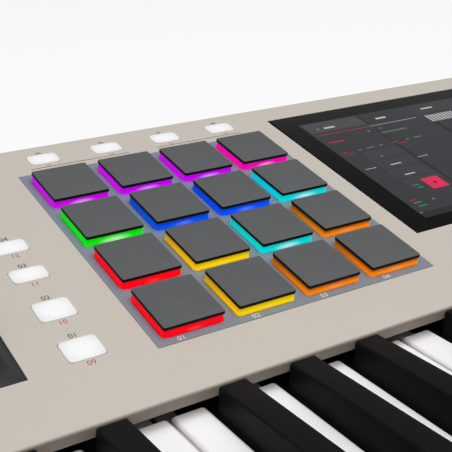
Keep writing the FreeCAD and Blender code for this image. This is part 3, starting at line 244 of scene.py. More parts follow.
# Shader groups that several finishes share. They put out only masks, patterns and shades.
def newGroup(name, inputs, outputs):
    group = bpy.data.node_groups.new(name, "ShaderNodeTree")
    for label, value in inputs.items():
        socket = group.interface.new_socket(name=label, in_out="INPUT",
                                            socket_type="NodeSocketFloat")
        socket.default_value = value
    for label in outputs:
        group.interface.new_socket(name=label, in_out="OUTPUT", socket_type="NodeSocketFloat")
    return group, group.nodes.new("NodeGroupInput"), group.nodes.new("NodeGroupOutput")


def addNode(tree, kind, **settings):
    node = tree.nodes.new(kind)
    for key, value in settings.items():
        setattr(node, key, value)
    return node


def setInputs(node, values):
    for label, value in values.items():
        node.inputs[label].default_value = value
    return node


def calculate(tree, operation, first, second):
    node = addNode(tree, "ShaderNodeMath", operation=operation)
    for socket, value in zip(node.inputs, (first, second)):
        if isinstance(value, (int, float)):
            socket.default_value = value
        else:
            tree.links.new(value, socket)
    return node.outputs[0]


def objectAxes(tree):
    place = addNode(tree, "ShaderNodeTexCoord")
    apart = addNode(tree, "ShaderNodeSeparateXYZ")
    tree.links.new(place.outputs["Object"], apart.inputs[0])
    return apart.outputs


grain = {
    "Scale": 2600,
    "Detail": 3,
    "smudge": {"Scale": 26, "Detail": 4},
}


def makeGrain():
    group, source, result = newGroup("MouldedGrain", {"Scale": grain["Scale"]},
                                     ["Grain", "Smudge"])
    place = addNode(group, "ShaderNodeTexCoord")
    fine = setInputs(addNode(group, "ShaderNodeTexNoise"), {"Detail": grain["Detail"]})
    wide = setInputs(addNode(group, "ShaderNodeTexNoise"), grain["smudge"])
    group.links.new(place.outputs["Object"], fine.inputs["Vector"])
    group.links.new(place.outputs["Object"], wide.inputs["Vector"])
    group.links.new(source.outputs["Scale"], fine.inputs["Scale"])
    group.links.new(fine.outputs[0], result.inputs["Grain"])
    group.links.new(wide.outputs[0], result.inputs["Smudge"])
    return group


def makeFade():
    # Mask that rises with the distance from a place in the piece's map.
    group, source, result = newGroup("Fade", {"X": 0, "Y": 0, "Near": 0, "Far": 1}, ["Mask"])
    place = addNode(group, "ShaderNodeTexCoord")
    centre = addNode(group, "ShaderNodeCombineXYZ")
    for axis in "XY":
        group.links.new(source.outputs[axis], centre.inputs[axis])
    distance = addNode(group, "ShaderNodeVectorMath", operation="DISTANCE")
    group.links.new(place.outputs["UV"], distance.inputs[0])
    group.links.new(centre.outputs[0], distance.inputs[1])
    rise = addNode(group, "ShaderNodeMapRange", interpolation_type="SMOOTHSTEP")
    group.links.new(distance.outputs["Value"], rise.inputs["Value"])
    group.links.new(source.outputs["Near"], rise.inputs["From Min"])
    group.links.new(source.outputs["Far"], rise.inputs["From Max"])
    group.links.new(rise.outputs["Result"], result.inputs["Mask"])
    return group


grainGroup = makeGrain()
fadeGroup = makeFade()


def newMaterial(name):
    material = bpy.data.materials.new(name)
    material.use_nodes = True
    return material, material.node_tree, material.node_tree.nodes["Principled BSDF"]


def ramp(tree, factor, low, high, start=0.3, end=0.7):
    # Start and end as given are where a noise pattern has most of its values.
    node = addNode(tree, "ShaderNodeMapRange")
    setInputs(node, {"From Min": start, "From Max": end, "To Min": low, "To Max": high})
    tree.links.new(factor, node.inputs["Value"])
    return node.outputs["Result"]


def blendColour(tree, factor, first, second):
    node = addNode(tree, "ShaderNodeMix", data_type="RGBA")
    tree.links.new(factor, node.inputs["Factor"])
    setInputs(node, {"A": first, "B": second})
    return node.outputs["Result"]


def darker(colour, share):
    return tuple(part * share for part in colour[:3]) + (1,)


def paler(colour, share):
    return tuple(part + (1 - part) * share for part in colour[:3]) + (1,)


plainFinish = {  # what a finish has where its own look says nothing else
    "grain": grain["Scale"],
    "dark": 0.94,  # shade of the grain's dark spots
    "spread": 0.04,  # roughness that smudges add and take
    "bump": 0.12,
    "bumpReach": 0.05 * mm,
    "metal": 0,
    "coat": 0,
    "coatRough": 0.08,
    "gloss": 0.5,
}


def moulded(name, ownLook):
    look = {**plainFinish, **ownLook}
    material, tree, shader = newMaterial(name)
    pattern = addNode(tree, "ShaderNodeGroup", node_tree=grainGroup)
    setInputs(pattern, {"Scale": look["grain"]})
    shade = ramp(tree, pattern.outputs["Grain"], 0, 1)
    colour = blendColour(tree, shade, darker(look["colour"], look["dark"]), look["colour"])
    tree.links.new(colour, shader.inputs["Base Color"])
    rough = ramp(tree, pattern.outputs["Smudge"], look["rough"] - look["spread"],
                 look["rough"] + look["spread"])
    tree.links.new(rough, shader.inputs["Roughness"])
    bump = addNode(tree, "ShaderNodeBump")
    setInputs(bump, {"Strength": look["bump"], "Distance": look["bumpReach"]})
    tree.links.new(pattern.outputs["Grain"], bump.inputs["Height"])
    tree.links.new(bump.outputs["Normal"], shader.inputs["Normal"])
    setInputs(shader, {"Metallic": look["metal"], "Coat Weight": look["coat"],
                       "Coat Roughness": look["coatRough"], "Specular IOR Level": look["gloss"]})
    return material


def paintShadeOnLip(material, look):
    # Painted shade: the face under the panel's front edge has its colour darkened, as if in the edge's shadow.
    tree = material.node_tree
    shader = tree.nodes["Principled BSDF"]
    mask = ramp(tree, objectAxes(tree)["Y"], 1, 0, look["front"], look["front"] + look["blend"])
    shown = blendColour(tree, mask, look["colour"], darker(look["colour"], look["share"]))
    tree.links.new(shader.inputs["Base Color"].links[0].from_socket, shown.node.inputs["A"])
    tree.links.new(shown, shader.inputs["Base Color"])
    return material


def paintLightOnKeyTops(material, look):
    # Painted light: the playing surface emits a little light that lifts its shade, rising towards the back where
    # the panel's edge shades it; the sides and the tails behind it don't.
    tree = material.node_tree
    axes = objectAxes(tree)
    top = ramp(tree, axes["Z"], 0, 1, look["top"] - look["depth"], look["top"])
    back = ramp(tree, axes["Y"], look["power"], look["backPower"], look["backFrom"],
                look["backTo"])
    shader = tree.nodes["Principled BSDF"]
    tree.links.new(calculate(tree, "MULTIPLY", top, back), shader.inputs["Emission Color"])
    shader.inputs["Emission Strength"].default_value = 1
    return material


def glowing(name, look):
    material = moulded(name, look)
    tree = material.node_tree
    shader = tree.nodes["Principled BSDF"]
    if "fade" in look:
        near, far = look["fade"]
        fade = addNode(tree, "ShaderNodeGroup", node_tree=fadeGroup)
        setInputs(fade, {"Near": near, "Far": far})
        glow = blendColour(tree, fade.outputs["Mask"], look["glow"], look["rim"])
        tree.links.new(glow, shader.inputs["Emission Color"])
    else:
        shader.inputs["Emission Color"].default_value = look["glow"]
    shader.inputs["Emission Strength"].default_value = look["power"]
    return material


print("stage: finishes")
casingLook = {"colour": linear(206, 198, 187), "rough": 0.46, "bump": 0.10, "dark": 0.96,
              "grain": 3200}
# Painted shade on the lip's face: this colour taken down to the given share.
lipShadeLook = {
    "colour": linear(208, 193, 180),
    "share": 0.46,
    "front": min(vertex.co.y for vertex in nodes["top_case"].data.vertices) + 0.1 * mm,
    "blend": 0.9 * mm,
}
# Painted light on the white keys' tops: emission that lifts their shade, rising towards the back.
whiteKeyPaintedLight = {
    "power": 0.07,
    "backPower": 0.18,
    "backFrom": -32 * mm,
    "backTo": -7 * mm,
    "top": highest("white_keys_c_e_g_b_1"),
    "depth": 0.5 * mm,
}
finishes = {
    "casing": moulded("casingPlastic", casingLook),
    # The top case's shell has painted shade on its lip's face.
    "shell": paintShadeOnLip(moulded("shellPlasticLipShade", casingLook), lipShadeLook),
    "plate": moulded("slatePlate", {"colour": linear(132, 143, 155), "rough": 0.33,
                                    "bump": 0.05, "dark": 0.95, "spread": 0.03}),
    "rubber": moulded("padRubber", {"colour": linear(92, 94, 95), "rough": 0.62, "bump": 0.20,
                                    "dark": 0.90, "grain": 2400, "gloss": 0.35}),
    # Near-black painted shade for the pads' cap sides; it also keeps the skirt below the plate unlit.
    "shadeBand": moulded("padShadeBand", {"colour": linear(13, 12, 12), "rough": 0.6, "bump": 0.10,
                                "gloss": 0.2}),
    "board": moulded("solderMask", {"colour": linear(18, 84, 48), "rough": 0.35}),
    "glass": moulded("displayGlass", {"colour": linear(20, 20, 21), "rough": 0.14,
                                      "spread": 0.02, "bump": 0.0, "gloss": 0.1}),
    "frame": moulded("zincSheet", {"colour": linear(190, 192, 194), "rough": 0.35, "metal": 1}),
    "black": moulded("blackPlastic", {"colour": linear(30, 30, 31), "rough": 0.45}),
    "knob": moulded("softTouch", {"colour": linear(34, 34, 36), "rough": 0.52, "bump": 0.15}),
    "wheel": moulded("wheelRubber", {"colour": linear(38, 38, 40), "rough": 0.60, "bump": 0.2}),
    "foot": moulded("footRubber", {"colour": linear(30, 30, 30), "rough": 0.75, "bump": 0.3}),
    "steel": moulded("screwSteel", {"colour": linear(120, 120, 122), "rough": 0.32,
                                    "metal": 1}),
    "whiteKey": paintLightOnKeyTops(moulded("whiteKey", {"colour": linear(250, 248, 246), "rough": 0.16,
                                               "spread": 0.03, "bump": 0.02, "dark": 0.985,
                                               "coat": 0.2}), whiteKeyPaintedLight),
    "nickel": moulded("nickel", {"colour": linear(196, 196, 198), "rough": 0.28, "metal": 1}),
    "brass": moulded("brass", {"colour": linear(206, 176, 104), "rough": 0.3, "metal": 1}),
    "blackKey": moulded("blackKey", {"colour": linear(21, 23, 24), "rough": 0.42,
                                     "bump": 0.05, "gloss": 0.06}),
    "button": glowing("litButton", {"colour": linear(228, 228, 228), "rough": 0.30,
                                    "bump": 0.02, "dark": 0.98, "glow": (1, 1, 1, 1),
                                    "rim": (0.42, 0.44, 0.42, 1), "fade": (0.4, 1.3),
                                    "power": 0.24}),
    "inkDark": moulded("inkDark", {"colour": linear(60, 57, 55), "rough": 0.5, "bump": 0.0}),
    "inkRed": moulded("inkRed", {"colour": linear(204, 74, 64), "rough": 0.5, "bump": 0.0}),
    "inkWhite": moulded("inkWhite", {"colour": linear(226, 230, 234), "rough": 0.5,
                                     "bump": 0.0}),
}
shownAsBuilt = {
    "top_case": "shell", "bottom_case": "casing", "rear_panel": "casing",
    "pad_surround": "plate", "control_boards": "board", "main_circuit_board": "board",
    # The keybed frame is black as painted shade, so the gaps under the keys read as shadow.
    "display_module": "frame", "keybed_frame": "black", "audio_jacks": "black",
    "data_sockets": "black", "case_screws": "steel",
}
for name, finish in shownAsBuilt.items():
    nodes[name].data.materials.clear()
    nodes[name].data.materials.append(finishes[finish])


# Pads: a dark rubber cap over a flared skirt that is lit from below.
padShape = {
    "count": 16,
    "side": 23.6 * mm,
    "corner": 0.8 * mm,
    "capDepth": 1.5 * mm,
    "edge": 0.28 * mm,
    "shadeTilt": 0.35,  # faces of the cap that lean out of the panel less than this get the near-black painted shade
    "seamGap": 0.02 * mm,
    "skirtSide": 23.35 * mm,
    "skirtCorner": 1.3 * mm,
    "flare": [1.003, 1.008, 1.016],  # growth of the skirt at each third, going down
    "neckDepth": 1.8 * mm,
    "flangeSide": 26.4 * mm,
    "flangeDepth": 2.1 * mm,
}
skirtFinish = {
    "lampHeight": 0.3,  # share of the front wall's height
    "power": 0.6,
    "rough": 0.38,
    "gloss": 0.12,
    "backRange": (0.9, 3),  # where the walls darken, along the map from the front's middle
    "topRange": (0.4, 1),  # and up the wall
}
# Pale is the lamp's own paleness and Reach its size. Back and Top are the shares of colour and
# glow left at the back wall and at the top edge, where painted shade darkens the walls.
padLooks = {
    "pad_red": {"colour": (255, 0, 22), "pale": 0.05, "Reach": 0.35, "Back": 0.9, "Top": 0.85},
    "pad_yellow": {"colour": (248, 210, 0), "pale": 0.03, "Reach": 0.4, "Back": 0.6, "Top": 0.6},
    "pad_orange": {"colour": (250, 132, 4), "pale": 0.06, "Reach": 0.5, "Back": 0.45,
                   "Top": 0.3},
    "pad_green": {"colour": (0, 240, 10), "pale": 0.42, "Reach": 0.65, "Back": 0.8,
                  "Top": 0.75},
    "pad_blue": {"colour": (0, 80, 248), "pale": 0.1, "Reach": 0.5, "Back": 0.7, "Top": 0.55},
    "pad_cyan": {"colour": (0, 222, 228), "pale": 0.5, "Reach": 0.6, "Back": 0.8, "Top": 0.75},
    "pad_magenta": {"colour": (210, 0, 238), "pale": 0.28, "Reach": 0.55, "Back": 0.85,
                    "Top": 0.75},
    "pad_pink": {"colour": (252, 0, 176), "pale": 0.28, "Reach": 0.5, "Back": 0.85,
                 "Top": 0.75},
}


def makeSkirtGlowAndShade():
    # A lamp shows through the middle of the front wall, and painted shade darkens the walls' colour and glow
    # upwards and back.
    group, source, result = newGroup("SkirtGlowAndShade", {"Reach": 0.5, "Back": 0.8, "Top": 0.8},
                                     ["Spot", "Shade"])
    place = addNode(group, "ShaderNodeTexCoord")
    apart = addNode(group, "ShaderNodeSeparateXYZ")
    group.links.new(place.outputs["UV"], apart.inputs[0])
    fade = addNode(group, "ShaderNodeGroup", node_tree=fadeGroup)
    setInputs(fade, {"Y": skirtFinish["lampHeight"]})
    group.links.new(source.outputs["Reach"], fade.inputs["Far"])
    spot = calculate(group, "SUBTRACT", 1, fade.outputs["Mask"])
    group.links.new(spot, result.inputs["Spot"])
    along = calculate(group, "ABSOLUTE", apart.outputs["X"], 0)
    back = ramp(group, along, 1, 1, *skirtFinish["backRange"])
    rise = ramp(group, apart.outputs["Y"], 1, 1, *skirtFinish["topRange"])
    group.links.new(source.outputs["Back"], back.node.inputs["To Max"])
    group.links.new(source.outputs["Top"], rise.node.inputs["To Max"])
    group.links.new(calculate(group, "MULTIPLY", back, rise), result.inputs["Shade"])
    return group


skirtGlowAndShade = makeSkirtGlowAndShade()


def litSkirt(name, look):
    material, tree, shader = newMaterial(name)
    light = addNode(tree, "ShaderNodeGroup", node_tree=skirtGlowAndShade)
    setInputs(light, {label: look[label] for label in ("Reach", "Back", "Top")})
    colour = linear(*look["colour"])
    # Painted shade: the group's Shade darkens the wall's colour and glow.
    shaded = blendColour(tree, light.outputs["Shade"], (0, 0, 0, 1), colour)
    shown = blendColour(tree, light.outputs["Spot"], colour, paler(colour, look["pale"]))
    tree.links.new(shaded, shown.node.inputs["A"])
    tree.links.new(shown, shader.inputs["Emission Color"])
    tree.links.new(shown, shader.inputs["Base Color"])
    setInputs(shader, {"Emission Strength": skirtFinish["power"],
                       "Roughness": skirtFinish["rough"],
                       "Specular IOR Level": skirtFinish["gloss"]})
    return material


def skirtMaster(seam, plate):
    side = padShape["skirtSide"]
    third = (seam - plate) / 3
    skirt = block("skirtMaster", side, side, seam - third, seam - padShape["seamGap"],
                  padShape["skirtCorner"])
    bpy.ops.object.mode_set(mode="EDIT")
    selectFaces(skirt, lambda normal: normal.z < -facing)
    grown = 1
    for step, flare in enumerate(padShape["flare"]):
        if step:
            extrude(-third)
        stretch(flare, flare)
        grown *= flare
    extrude(-padShape["neckDepth"])
    extrude(0)
    rim = padShape["flangeSide"] / side / grown
    stretch(rim, rim)
    extrude(-padShape["flangeDepth"])
    bpy.ops.object.mode_set(mode="OBJECT")
    smooth(skirt)
    mapWalls(skirt, side / 2, plate, seam)
    return skirt


def makePads():
    top = surfaceOf("pad_1")
    seam = top - padShape["capDepth"]
    plate = surfaceOf("pad_surround")
    cap = block("capMaster", padShape["side"], padShape["side"], seam, top, padShape["corner"])
    soften(cap, padShape["edge"])
    skirt = skirtMaster(seam, plate)
    skirtLights = {slot: litSkirt(slot + "Light", look) for slot, look in padLooks.items()}
    for number in range(1, padShape["count"] + 1):
        name = "pad_%d" % number
        slot = slotOf[name]
        middle = middleOf(name)
        place = atPanel(middle.x, middle.y)
        shown = copyPiece(skirt, name + "_skirt", place)
        settle(shown, bodyOf[name], skirtLights[slot], name)
        addShadeBand(shown, lambda face: (fromPanel @ face.center).z < plate)
        topPiece = copyPiece(cap, name + "_cap", place)
        settle(topPiece, bodyOf[name], finishes["rubber"])
        # Painted shade: the cap's sides go near-black, the grey rubber as if in shadow.
        addShadeBand(topPiece, lambda face: abs(face.normal.dot(outOfPanel)) < padShape["shadeTilt"])
    remove(cap)
    remove(skirt)


print("stage: pads")
makePads()


# Buttons: white lit caps with soft edges, a flange under the panel and a stem.
buttonShape = {
    "width": 13.2 * mm,
    "corner": 1.9 * mm,
    "edge": 0.5 * mm,
    "under": 2.8 * mm,  # depth of the cap below the panel's surface
    "flange": 3.0 * mm,  # what the flange is wider than the cap
    "web": 1.2 * mm,  # thickness of the flange
    "stem": (0.25, 0.35),  # share of the flange that goes on down as the stem
}
buttonDepths = {"small": 7.9 * mm, "large": 10.7 * mm}
singleButtons = {
    "note_repeat_button": "large", "erase_button": "large",
    "sixteen_levels_button": "small", "full_level_button": "small",
    "pad_bank_button_1": "small", "pad_bank_button_2": "small",
    "pad_bank_button_3": "small", "pad_bank_button_4": "small",
}
groupButtons = {"transport_buttons": "large", "function_buttons": "small"}


def buttonMaster(kind):
    low, high = panelBox("erase_button")
    shape = buttonShape
    width = shape["width"]
    depth = buttonDepths[kind]
    piece = block("button_" + kind, width, depth, -shape["under"], high.z, shape["corner"])
    soften(piece, shape["edge"], 4)
    bpy.ops.object.mode_set(mode="EDIT")
    selectFaces(piece, lambda normal: normal.z < -facing)
    extrude(0)
    stretch(1 + shape["flange"] / width, 1 + shape["flange"] / depth)
    extrude(-shape["web"])
    extrude(0)
    stretch(*shape["stem"])
    extrude(low.z + shape["under"] + shape["web"])
    bpy.ops.object.mode_set(mode="OBJECT")
    mapFromTop(piece, width / 2, depth / 2)
    return piece


def capMiddles(name):
    # Middles of the separate caps in a node: top faces that share a corner are one cap.
    lowest = surfaceOf(name) - tiny
    mesh = nodes[name].data
    groups = []
    for face in mesh.polygons:
        corners = [fromPanel @ mesh.vertices[k].co for k in face.vertices]
        if min(corner.z for corner in corners) > lowest:
            merged = {(round(corner.x, decimals), round(corner.y, decimals))
                      for corner in corners}
            apart = [group for group in groups if not group & merged]
            for group in groups:
                if group & merged:
                    merged = merged | group
            groups = apart + [merged]
    middles = []
    for group in groups:
        xs = [point[0] for point in group]
        ys = [point[1] for point in group]
        middles.append(((min(xs) + max(xs)) / 2, (min(ys) + max(ys)) / 2))
    return sorted(middles)


def makeButtons():
    masters = {kind: buttonMaster(kind) for kind in buttonDepths}
    for name, kind in singleButtons.items():
        piece = copyPiece(masters[kind], name + "_cap", atPanel(*capMiddles(name)[0]))
        settle(piece, bodyOf[name], finishes["button"], name)
    for name, kind in groupButtons.items():
        pieces = [copyPiece(masters[kind], name + "_cap", atPanel(*middle))
                  for middle in capMiddles(name)]
        settle(join(pieces, name + "_caps"), bodyOf[name], finishes["button"],
               name)
    for master in masters.values():
        remove(master)


print("stage: buttons")
makeButtons()


# Generic printing: plain numbers, the rule behind the pads and the volume knob's ticks.
printing = {
    "thick": 0.03 * mm,
    "letterSize": 1.4,  # Blender's text size for a figure of height 1
    "padNumber": {"height": 2.2 * mm, "x": -6.0 * mm, "y": -13.8 * mm},
    "buttonNumber": 2.3 * mm,
    "bankNumber": 1.7 * mm,
    "gap": 0.7 * mm,  # between a button and its number
    "firstRed": 9,
    "firstOfGroups": 17,
    "rule": {"y": 108.2 * mm, "width": 0.35 * mm, "reach": 8 * mm, "halfGap": 7 * mm},
    "tick": {"count": 11, "first": -150, "step": 30, "width": 0.35 * mm, "length": 1.6 * mm,
             "gap": 1.2 * mm},
}


def number(value, height, place):
    bpy.ops.object.select_all(action="DESELECT")
    bpy.ops.object.text_add(location=(0, 0, 0))
    piece = bpy.context.object
    piece.data.body = "%02d" % value
    piece.data.size = height * printing["letterSize"]
    piece.data.align_x = "CENTER"
    piece.data.align_y = "CENTER"
    piece.data.extrude = printing["thick"]
    bpy.ops.object.convert(target="MESH")
    piece.data.transform(place)
    return piece


def stroke(name, width, depth, place):
    piece = block(name, width, depth, -printing["thick"], printing["thick"])
    piece.data.transform(place)
    return piece


def dialTicks():
    # Short strokes round the volume knob over the angle that it turns through.
    tick = printing["tick"]
    low, high = panelBox("volume_knob")
    middle = (low + high) / 2
    reach = (high.x - low.x) / 2 + tick["gap"] + tick["length"] / 2
    ticks = []
    for k in range(tick["count"]):
        turn = Matrix.Rotation(math.radians(tick["first"] + tick["step"] * k), 4, "Z")
        place = atPanel(middle.x, middle.y) @ turn @ Matrix.Translation((0, reach, 0))
        ticks.append(stroke("tick", tick["width"], tick["length"], place))
    return ticks


def printPads():
    look = printing["padNumber"]
    plate = surfaceOf("pad_surround")
    whites = []
    for k in range(1, padShape["count"] + 1):
        middle = middleOf("pad_%d" % k)
        whites.append(number(k, look["height"],
                             atPanel(middle.x + look["x"], middle.y + look["y"], plate)))
    settle(join(whites, "pad_numbers"), "case", finishes["inkWhite"])


def printPanel():
    darks = []
    reds = []
    for k, (name, kind) in enumerate(singleButtons.items()):
        x, y = capMiddles(name)[0]
        height = printing["bankNumber" if name.startswith("pad_bank") else "buttonNumber"]
        reach = (buttonDepths[kind] + height) / 2 + printing["gap"]
        darks.append(number(k + 1, height, atPanel(x, y + reach)))
        reds.append(number(k + printing["firstRed"], height, atPanel(x, y - reach)))
    rule = printing["rule"]
    left = middleOf("pad_13").x - rule["reach"]
    right = middleOf("pad_16").x + rule["reach"]
    length = (right - left) / 2 - rule["halfGap"]
    for x in (left + length / 2, right - length / 2):
        darks.append(stroke("stroke", length, rule["width"], atPanel(x, rule["y"])))
    count = printing["firstOfGroups"]
    height = printing["bankNumber"]
    for name, kind in groupButtons.items():
        reach = (buttonDepths[kind] + height) / 2 + printing["gap"]
        for x, y in capMiddles(name):
            darks.append(number(count, height, atPanel(x, y + reach)))
            count += 1
    darks += dialTicks()
    settle(join(darks, "panel_numbers_dark"), "case", finishes["inkDark"])
    settle(join(reds, "panel_numbers_red"), "case", finishes["inkRed"])


print("stage: printing")
printPads()
printPanel()


# Display: plain fields and marks of a generic page, just over the glass.
screen = {
    "left": -40.0 * mm,
    "front": 13.3 * mm,
    "lift": 0.03 * mm,  # of the first layer over the glass
    "layerStep": 0.02 * mm,
    "thick": 0.01 * mm,
    "corner": 1.5 * mm,
    "edge": 0.3 * mm,
    "finish": {"colour": linear(12, 12, 14), "rough": 0.12, "bump": 0.0, "spread": 0.02},
}
# Each patch: left, front, width and depth in millimetres from the screen's front left corner.
screenPage = {
    "screen_field": {"layer": 0, "glow": (50, 53, 56), "power": 0.85, "patches": [
        (0, 0, 152, 91.2)]},
    "screen_tabs": {"layer": 1, "glow": (74, 72, 73), "power": 0.85, "patches": [
        (1, 81, 33.5, 9.4)]},
    "screen_panes": {"layer": 1, "glow": (60, 58, 63), "power": 0.85, "patches": [
        (11.5, 24, 21, 33), (76, 20, 21, 38), (69, 81, 30, 9.4), (100, 28, 24, 40)]},
    "screen_gaps": {"layer": 1, "glow": (34, 35, 36), "power": 0.85, "patches": [
        (35, 81, 1.0, 9.4), (70, 4, 3, 70), (34, 4, 1.6, 70), (0, 0, 152, 4),
        (11.5, 39.4, 21, 0.5), (11.5, 48.4, 21, 0.5), (11.5, 30, 21, 0.5)]},
    "screen_red": {"layer": 2, "glow": (200, 34, 44), "power": 0.75, "patches": [
        (2, 78.1, 32.5, 0.5), (3, 70.6, 1.2, 0.9), (4.7, 70, 7.4, 1), (2.5, 57.6, 7, 0.35),
        (2.6, 59.4, 3, 0.7), (34.5, 58.3, 7, 0.35), (33.6, 60.2, 3.4, 0.7),
        (3.3, 13.1, 3.6, 0.6)]},
    "screen_button": {"layer": 2, "glow": (228, 30, 90), "power": 0.9, "patches": [
        (21.2, 17.8, 9.5, 9.2)]},
    "screen_white": {"layer": 2, "glow": (196, 198, 200), "power": 0.8, "patches": [
        (34.8, 78.3, 30, 0.3), (10.5, 83.6, 6.5, 1.5), (43, 83.6, 6.5, 1.5), (74.4, 85, 8, 1.3),
        (17.4, 42.3, 6.2, 0.8), (17.3, 32.4, 6, 0.8), (2.8, 42.9, 5.6, 0.35),
        (8.2, 42.7, 0.7, 0.7), (35.1, 44, 5.6, 0.35), (40.5, 43.8, 0.7, 0.7)]},
    "screen_grey": {"layer": 2, "glow": (122, 124, 126), "power": 0.8, "patches": [
        (12, 59.2, 2.4, 0.7), (17, 59.6, 4.6, 0.7), (25, 59.8, 2.4, 0.7), (42.6, 60.4, 2, 0.7),
        (47.6, 60.6, 4.8, 0.7), (35.4, 70.2, 16, 0.8), (6, 83.6, 1.6, 1.4),
        (29.5, 73.6, 1.4, 1.4), (37.5, 74.4, 1.2, 1.2), (18.6, 50.6, 1.2, 1.2),
        (14, 10.5, 1.2, 1.2), (3.4, 10.9, 4.2, 0.7), (0.6, 3.4, 1, 1)]},
    "screen_keys": {"layer": 2, "glow": (206, 208, 210), "power": 0.75, "patches": [
        (70.6 + 2.1 * k, 71.6, 1.2, 7) for k in range(9)]},
    "screen_green": {"layer": 2, "glow": (26, 140, 96), "power": 0.75, "patches": [
        (13.4, 23, 4, 0.9), (14.4, 20.8, 3.6, 0.9), (4, 8, 4.4, 0.9)]},
    "screen_dot": {"layer": 3, "glow": (90, 12, 30), "power": 0.8, "patches": [
        (25.2, 21.6, 1.7, 1.6)]},
}


def makeScreen():
    glassTop = surfaceOf("display_glass")
    for name, look in screenPage.items():
        z = glassTop + screen["lift"] + screen["layerStep"] * look["layer"]
        pieces = []
        for left, front, width, depth in look["patches"]:
            piece = block("patch", width * mm, depth * mm, 0, screen["thick"])
            piece.data.transform(atPanel(screen["left"] + (left + width / 2) * mm,
                                         screen["front"] + (front + depth / 2) * mm, z))
            pieces.append(piece)
        material = glowing(name, {**screen["finish"], "glow": linear(*look["glow"]),
                                  "power": look["power"]})
        settle(join(pieces, name), "case", material)


def makeGlass():
    low, high = panelBox("display_glass")
    middle = (low + high) / 2
    piece = block("display_cover", high.x - low.x, high.y - low.y, low.z - middle.z,
                  high.z - middle.z, screen["corner"])
    soften(piece, screen["edge"])
    piece.data.transform(atPanel(*middle))
    settle(piece, "case", finishes["glass"], "display_glass")


print("stage: display")
makeGlass()
makeScreen()


# Pieces that keep their solid's shape and get soft edges, by the start of their names. Crown is
# the rounding of the top's outline.
softPieces = {
    "black_keys": {"finish": "blackKey", "width": 0.45 * mm, "steps": 3},
    "data_dial": {"finish": "knob", "width": 0.25 * mm, "steps": 2, "angle": 12},
    "parameter_knob": {"finish": "knob", "width": 0.25 * mm, "steps": 2, "angle": 12},
    "volume_knob": {"finish": "knob", "width": 0.25 * mm, "steps": 2, "angle": 12},
    "white_keys": {"finish": "whiteKey", "width": 0.25 * mm, "steps": 2, "crown": 0.8 * mm},
    "pitch_wheel": {"finish": "wheel", "width": 0.3 * mm, "steps": 2, "angle": 20},
    "mod_wheel": {"finish": "wheel", "width": 0.3 * mm, "steps": 2, "angle": 20},
    "wheel_bezel": {"finish": "black", "width": 0.25 * mm, "steps": 2},
    "left_cheek": {"finish": "casing", "width": 0.5 * mm, "steps": 3},
    "right_cheek": {"finish": "casing", "width": 0.5 * mm, "steps": 3},
    "rubber_feet": {"finish": "foot", "width": 0.6 * mm, "steps": 3},
    "power_button": {"finish": "knob", "width": 0.3 * mm, "steps": 2},
}
cleaning = {
    "weld": 0.002 * mm,
    "flat": 0.5,  # degrees between faces that become one
    "crownSteps": 4,
    "edgeAngle": 30,
}


def softCopy(name, look):
    piece = copyPiece(nodes[name], name + "_soft", Matrix())
    only(piece)
    bpy.ops.object.mode_set(mode="EDIT")
    bpy.ops.mesh.select_all(action="SELECT")
    bpy.ops.mesh.remove_doubles(threshold=cleaning["weld"])
    bpy.ops.mesh.dissolve_limited(angle_limit=math.radians(cleaning["flat"]))
    if "crown" in look:
        top = highest(name) - tiny
        selectEdges(piece, lambda a, b: a.z > top and b.z > top)
        bpy.ops.mesh.bevel(offset=look["crown"], segments=cleaning["crownSteps"],
                           affect="EDGES")
    bpy.ops.object.mode_set(mode="OBJECT")
    soften(piece, look["width"], look["steps"], look.get("angle", cleaning["edgeAngle"]))
    settle(piece, bodyOf[name], finishes[look["finish"]], name)


print("stage: moulded pieces")
for start, look in softPieces.items():
    for name in sorted(nodes):
        if name.startswith(start):
            softCopy(name, look)


# Rear: nuts on the jacks, rings and contacts of the round sockets, plain numbers.
rear = {
    "face": 156.5 * mm,
    "height": 37.0 * mm,
    "inFace": 0.7 * mm,  # corners this near to the face belong to what shows there
    "apart": 4 * mm,  # gap between two sockets' corners
    "largeJacks": 5,
    "roundSockets": 2,
    "nut": {"outer": 6.4 * mm, "inner": 4.75 * mm, "proud": 1.1 * mm},
    "smallNut": {"outer": 4.4 * mm, "inner": 3.05 * mm, "proud": 1.0 * mm},
    "ring": {"outer": 7.7 * mm, "inner": 7.0 * mm, "proud": 0.5 * mm},
    "ringEdge": 0.15 * mm,
    "contact": {"count": 5, "step": 45, "radius": 0.8 * mm, "reach": 3.6 * mm,
                "low": -0.3 * mm, "high": 0.15 * mm},
    "numberHeight": 2.6 * mm,
    "numberDrop": 11.5 * mm,
}


def facingBack(x, z):
    axes = Matrix(((-1, 0, 0), (0, 0, 1), (0, 1, 0))).transposed().to_4x4()
    return Matrix.Translation((x, rear["face"], z)) @ axes


def ringPiece(name, look):
    piece = disc(name, look["outer"], 0, look["proud"])
    bpy.ops.object.mode_set(mode="EDIT")
    selectFaces(piece, lambda normal: abs(normal.z) > facing)
    bpy.ops.mesh.inset(thickness=look["outer"] - look["inner"])
    bpy.ops.mesh.bridge_edge_loops()
    bpy.ops.object.mode_set(mode="OBJECT")
    soften(piece, rear["ringEdge"], 2)
    return piece


def socketMiddles(name):
    # Middles across the case of the sockets in a node, told apart by the gaps between them.
    nearFace = rear["face"] - rear["inFace"]
    places = sorted({round(vertex.co.x, decimals) for vertex in nodes[name].data.vertices
                     if vertex.co.y > nearFace})
    groups = [[places[0]]]
    for x in places[1:]:
        if x - groups[-1][-1] > rear["apart"]:
            groups.append([])
        groups[-1].append(x)
    return [(group[0] + group[-1]) / 2 for group in groups]


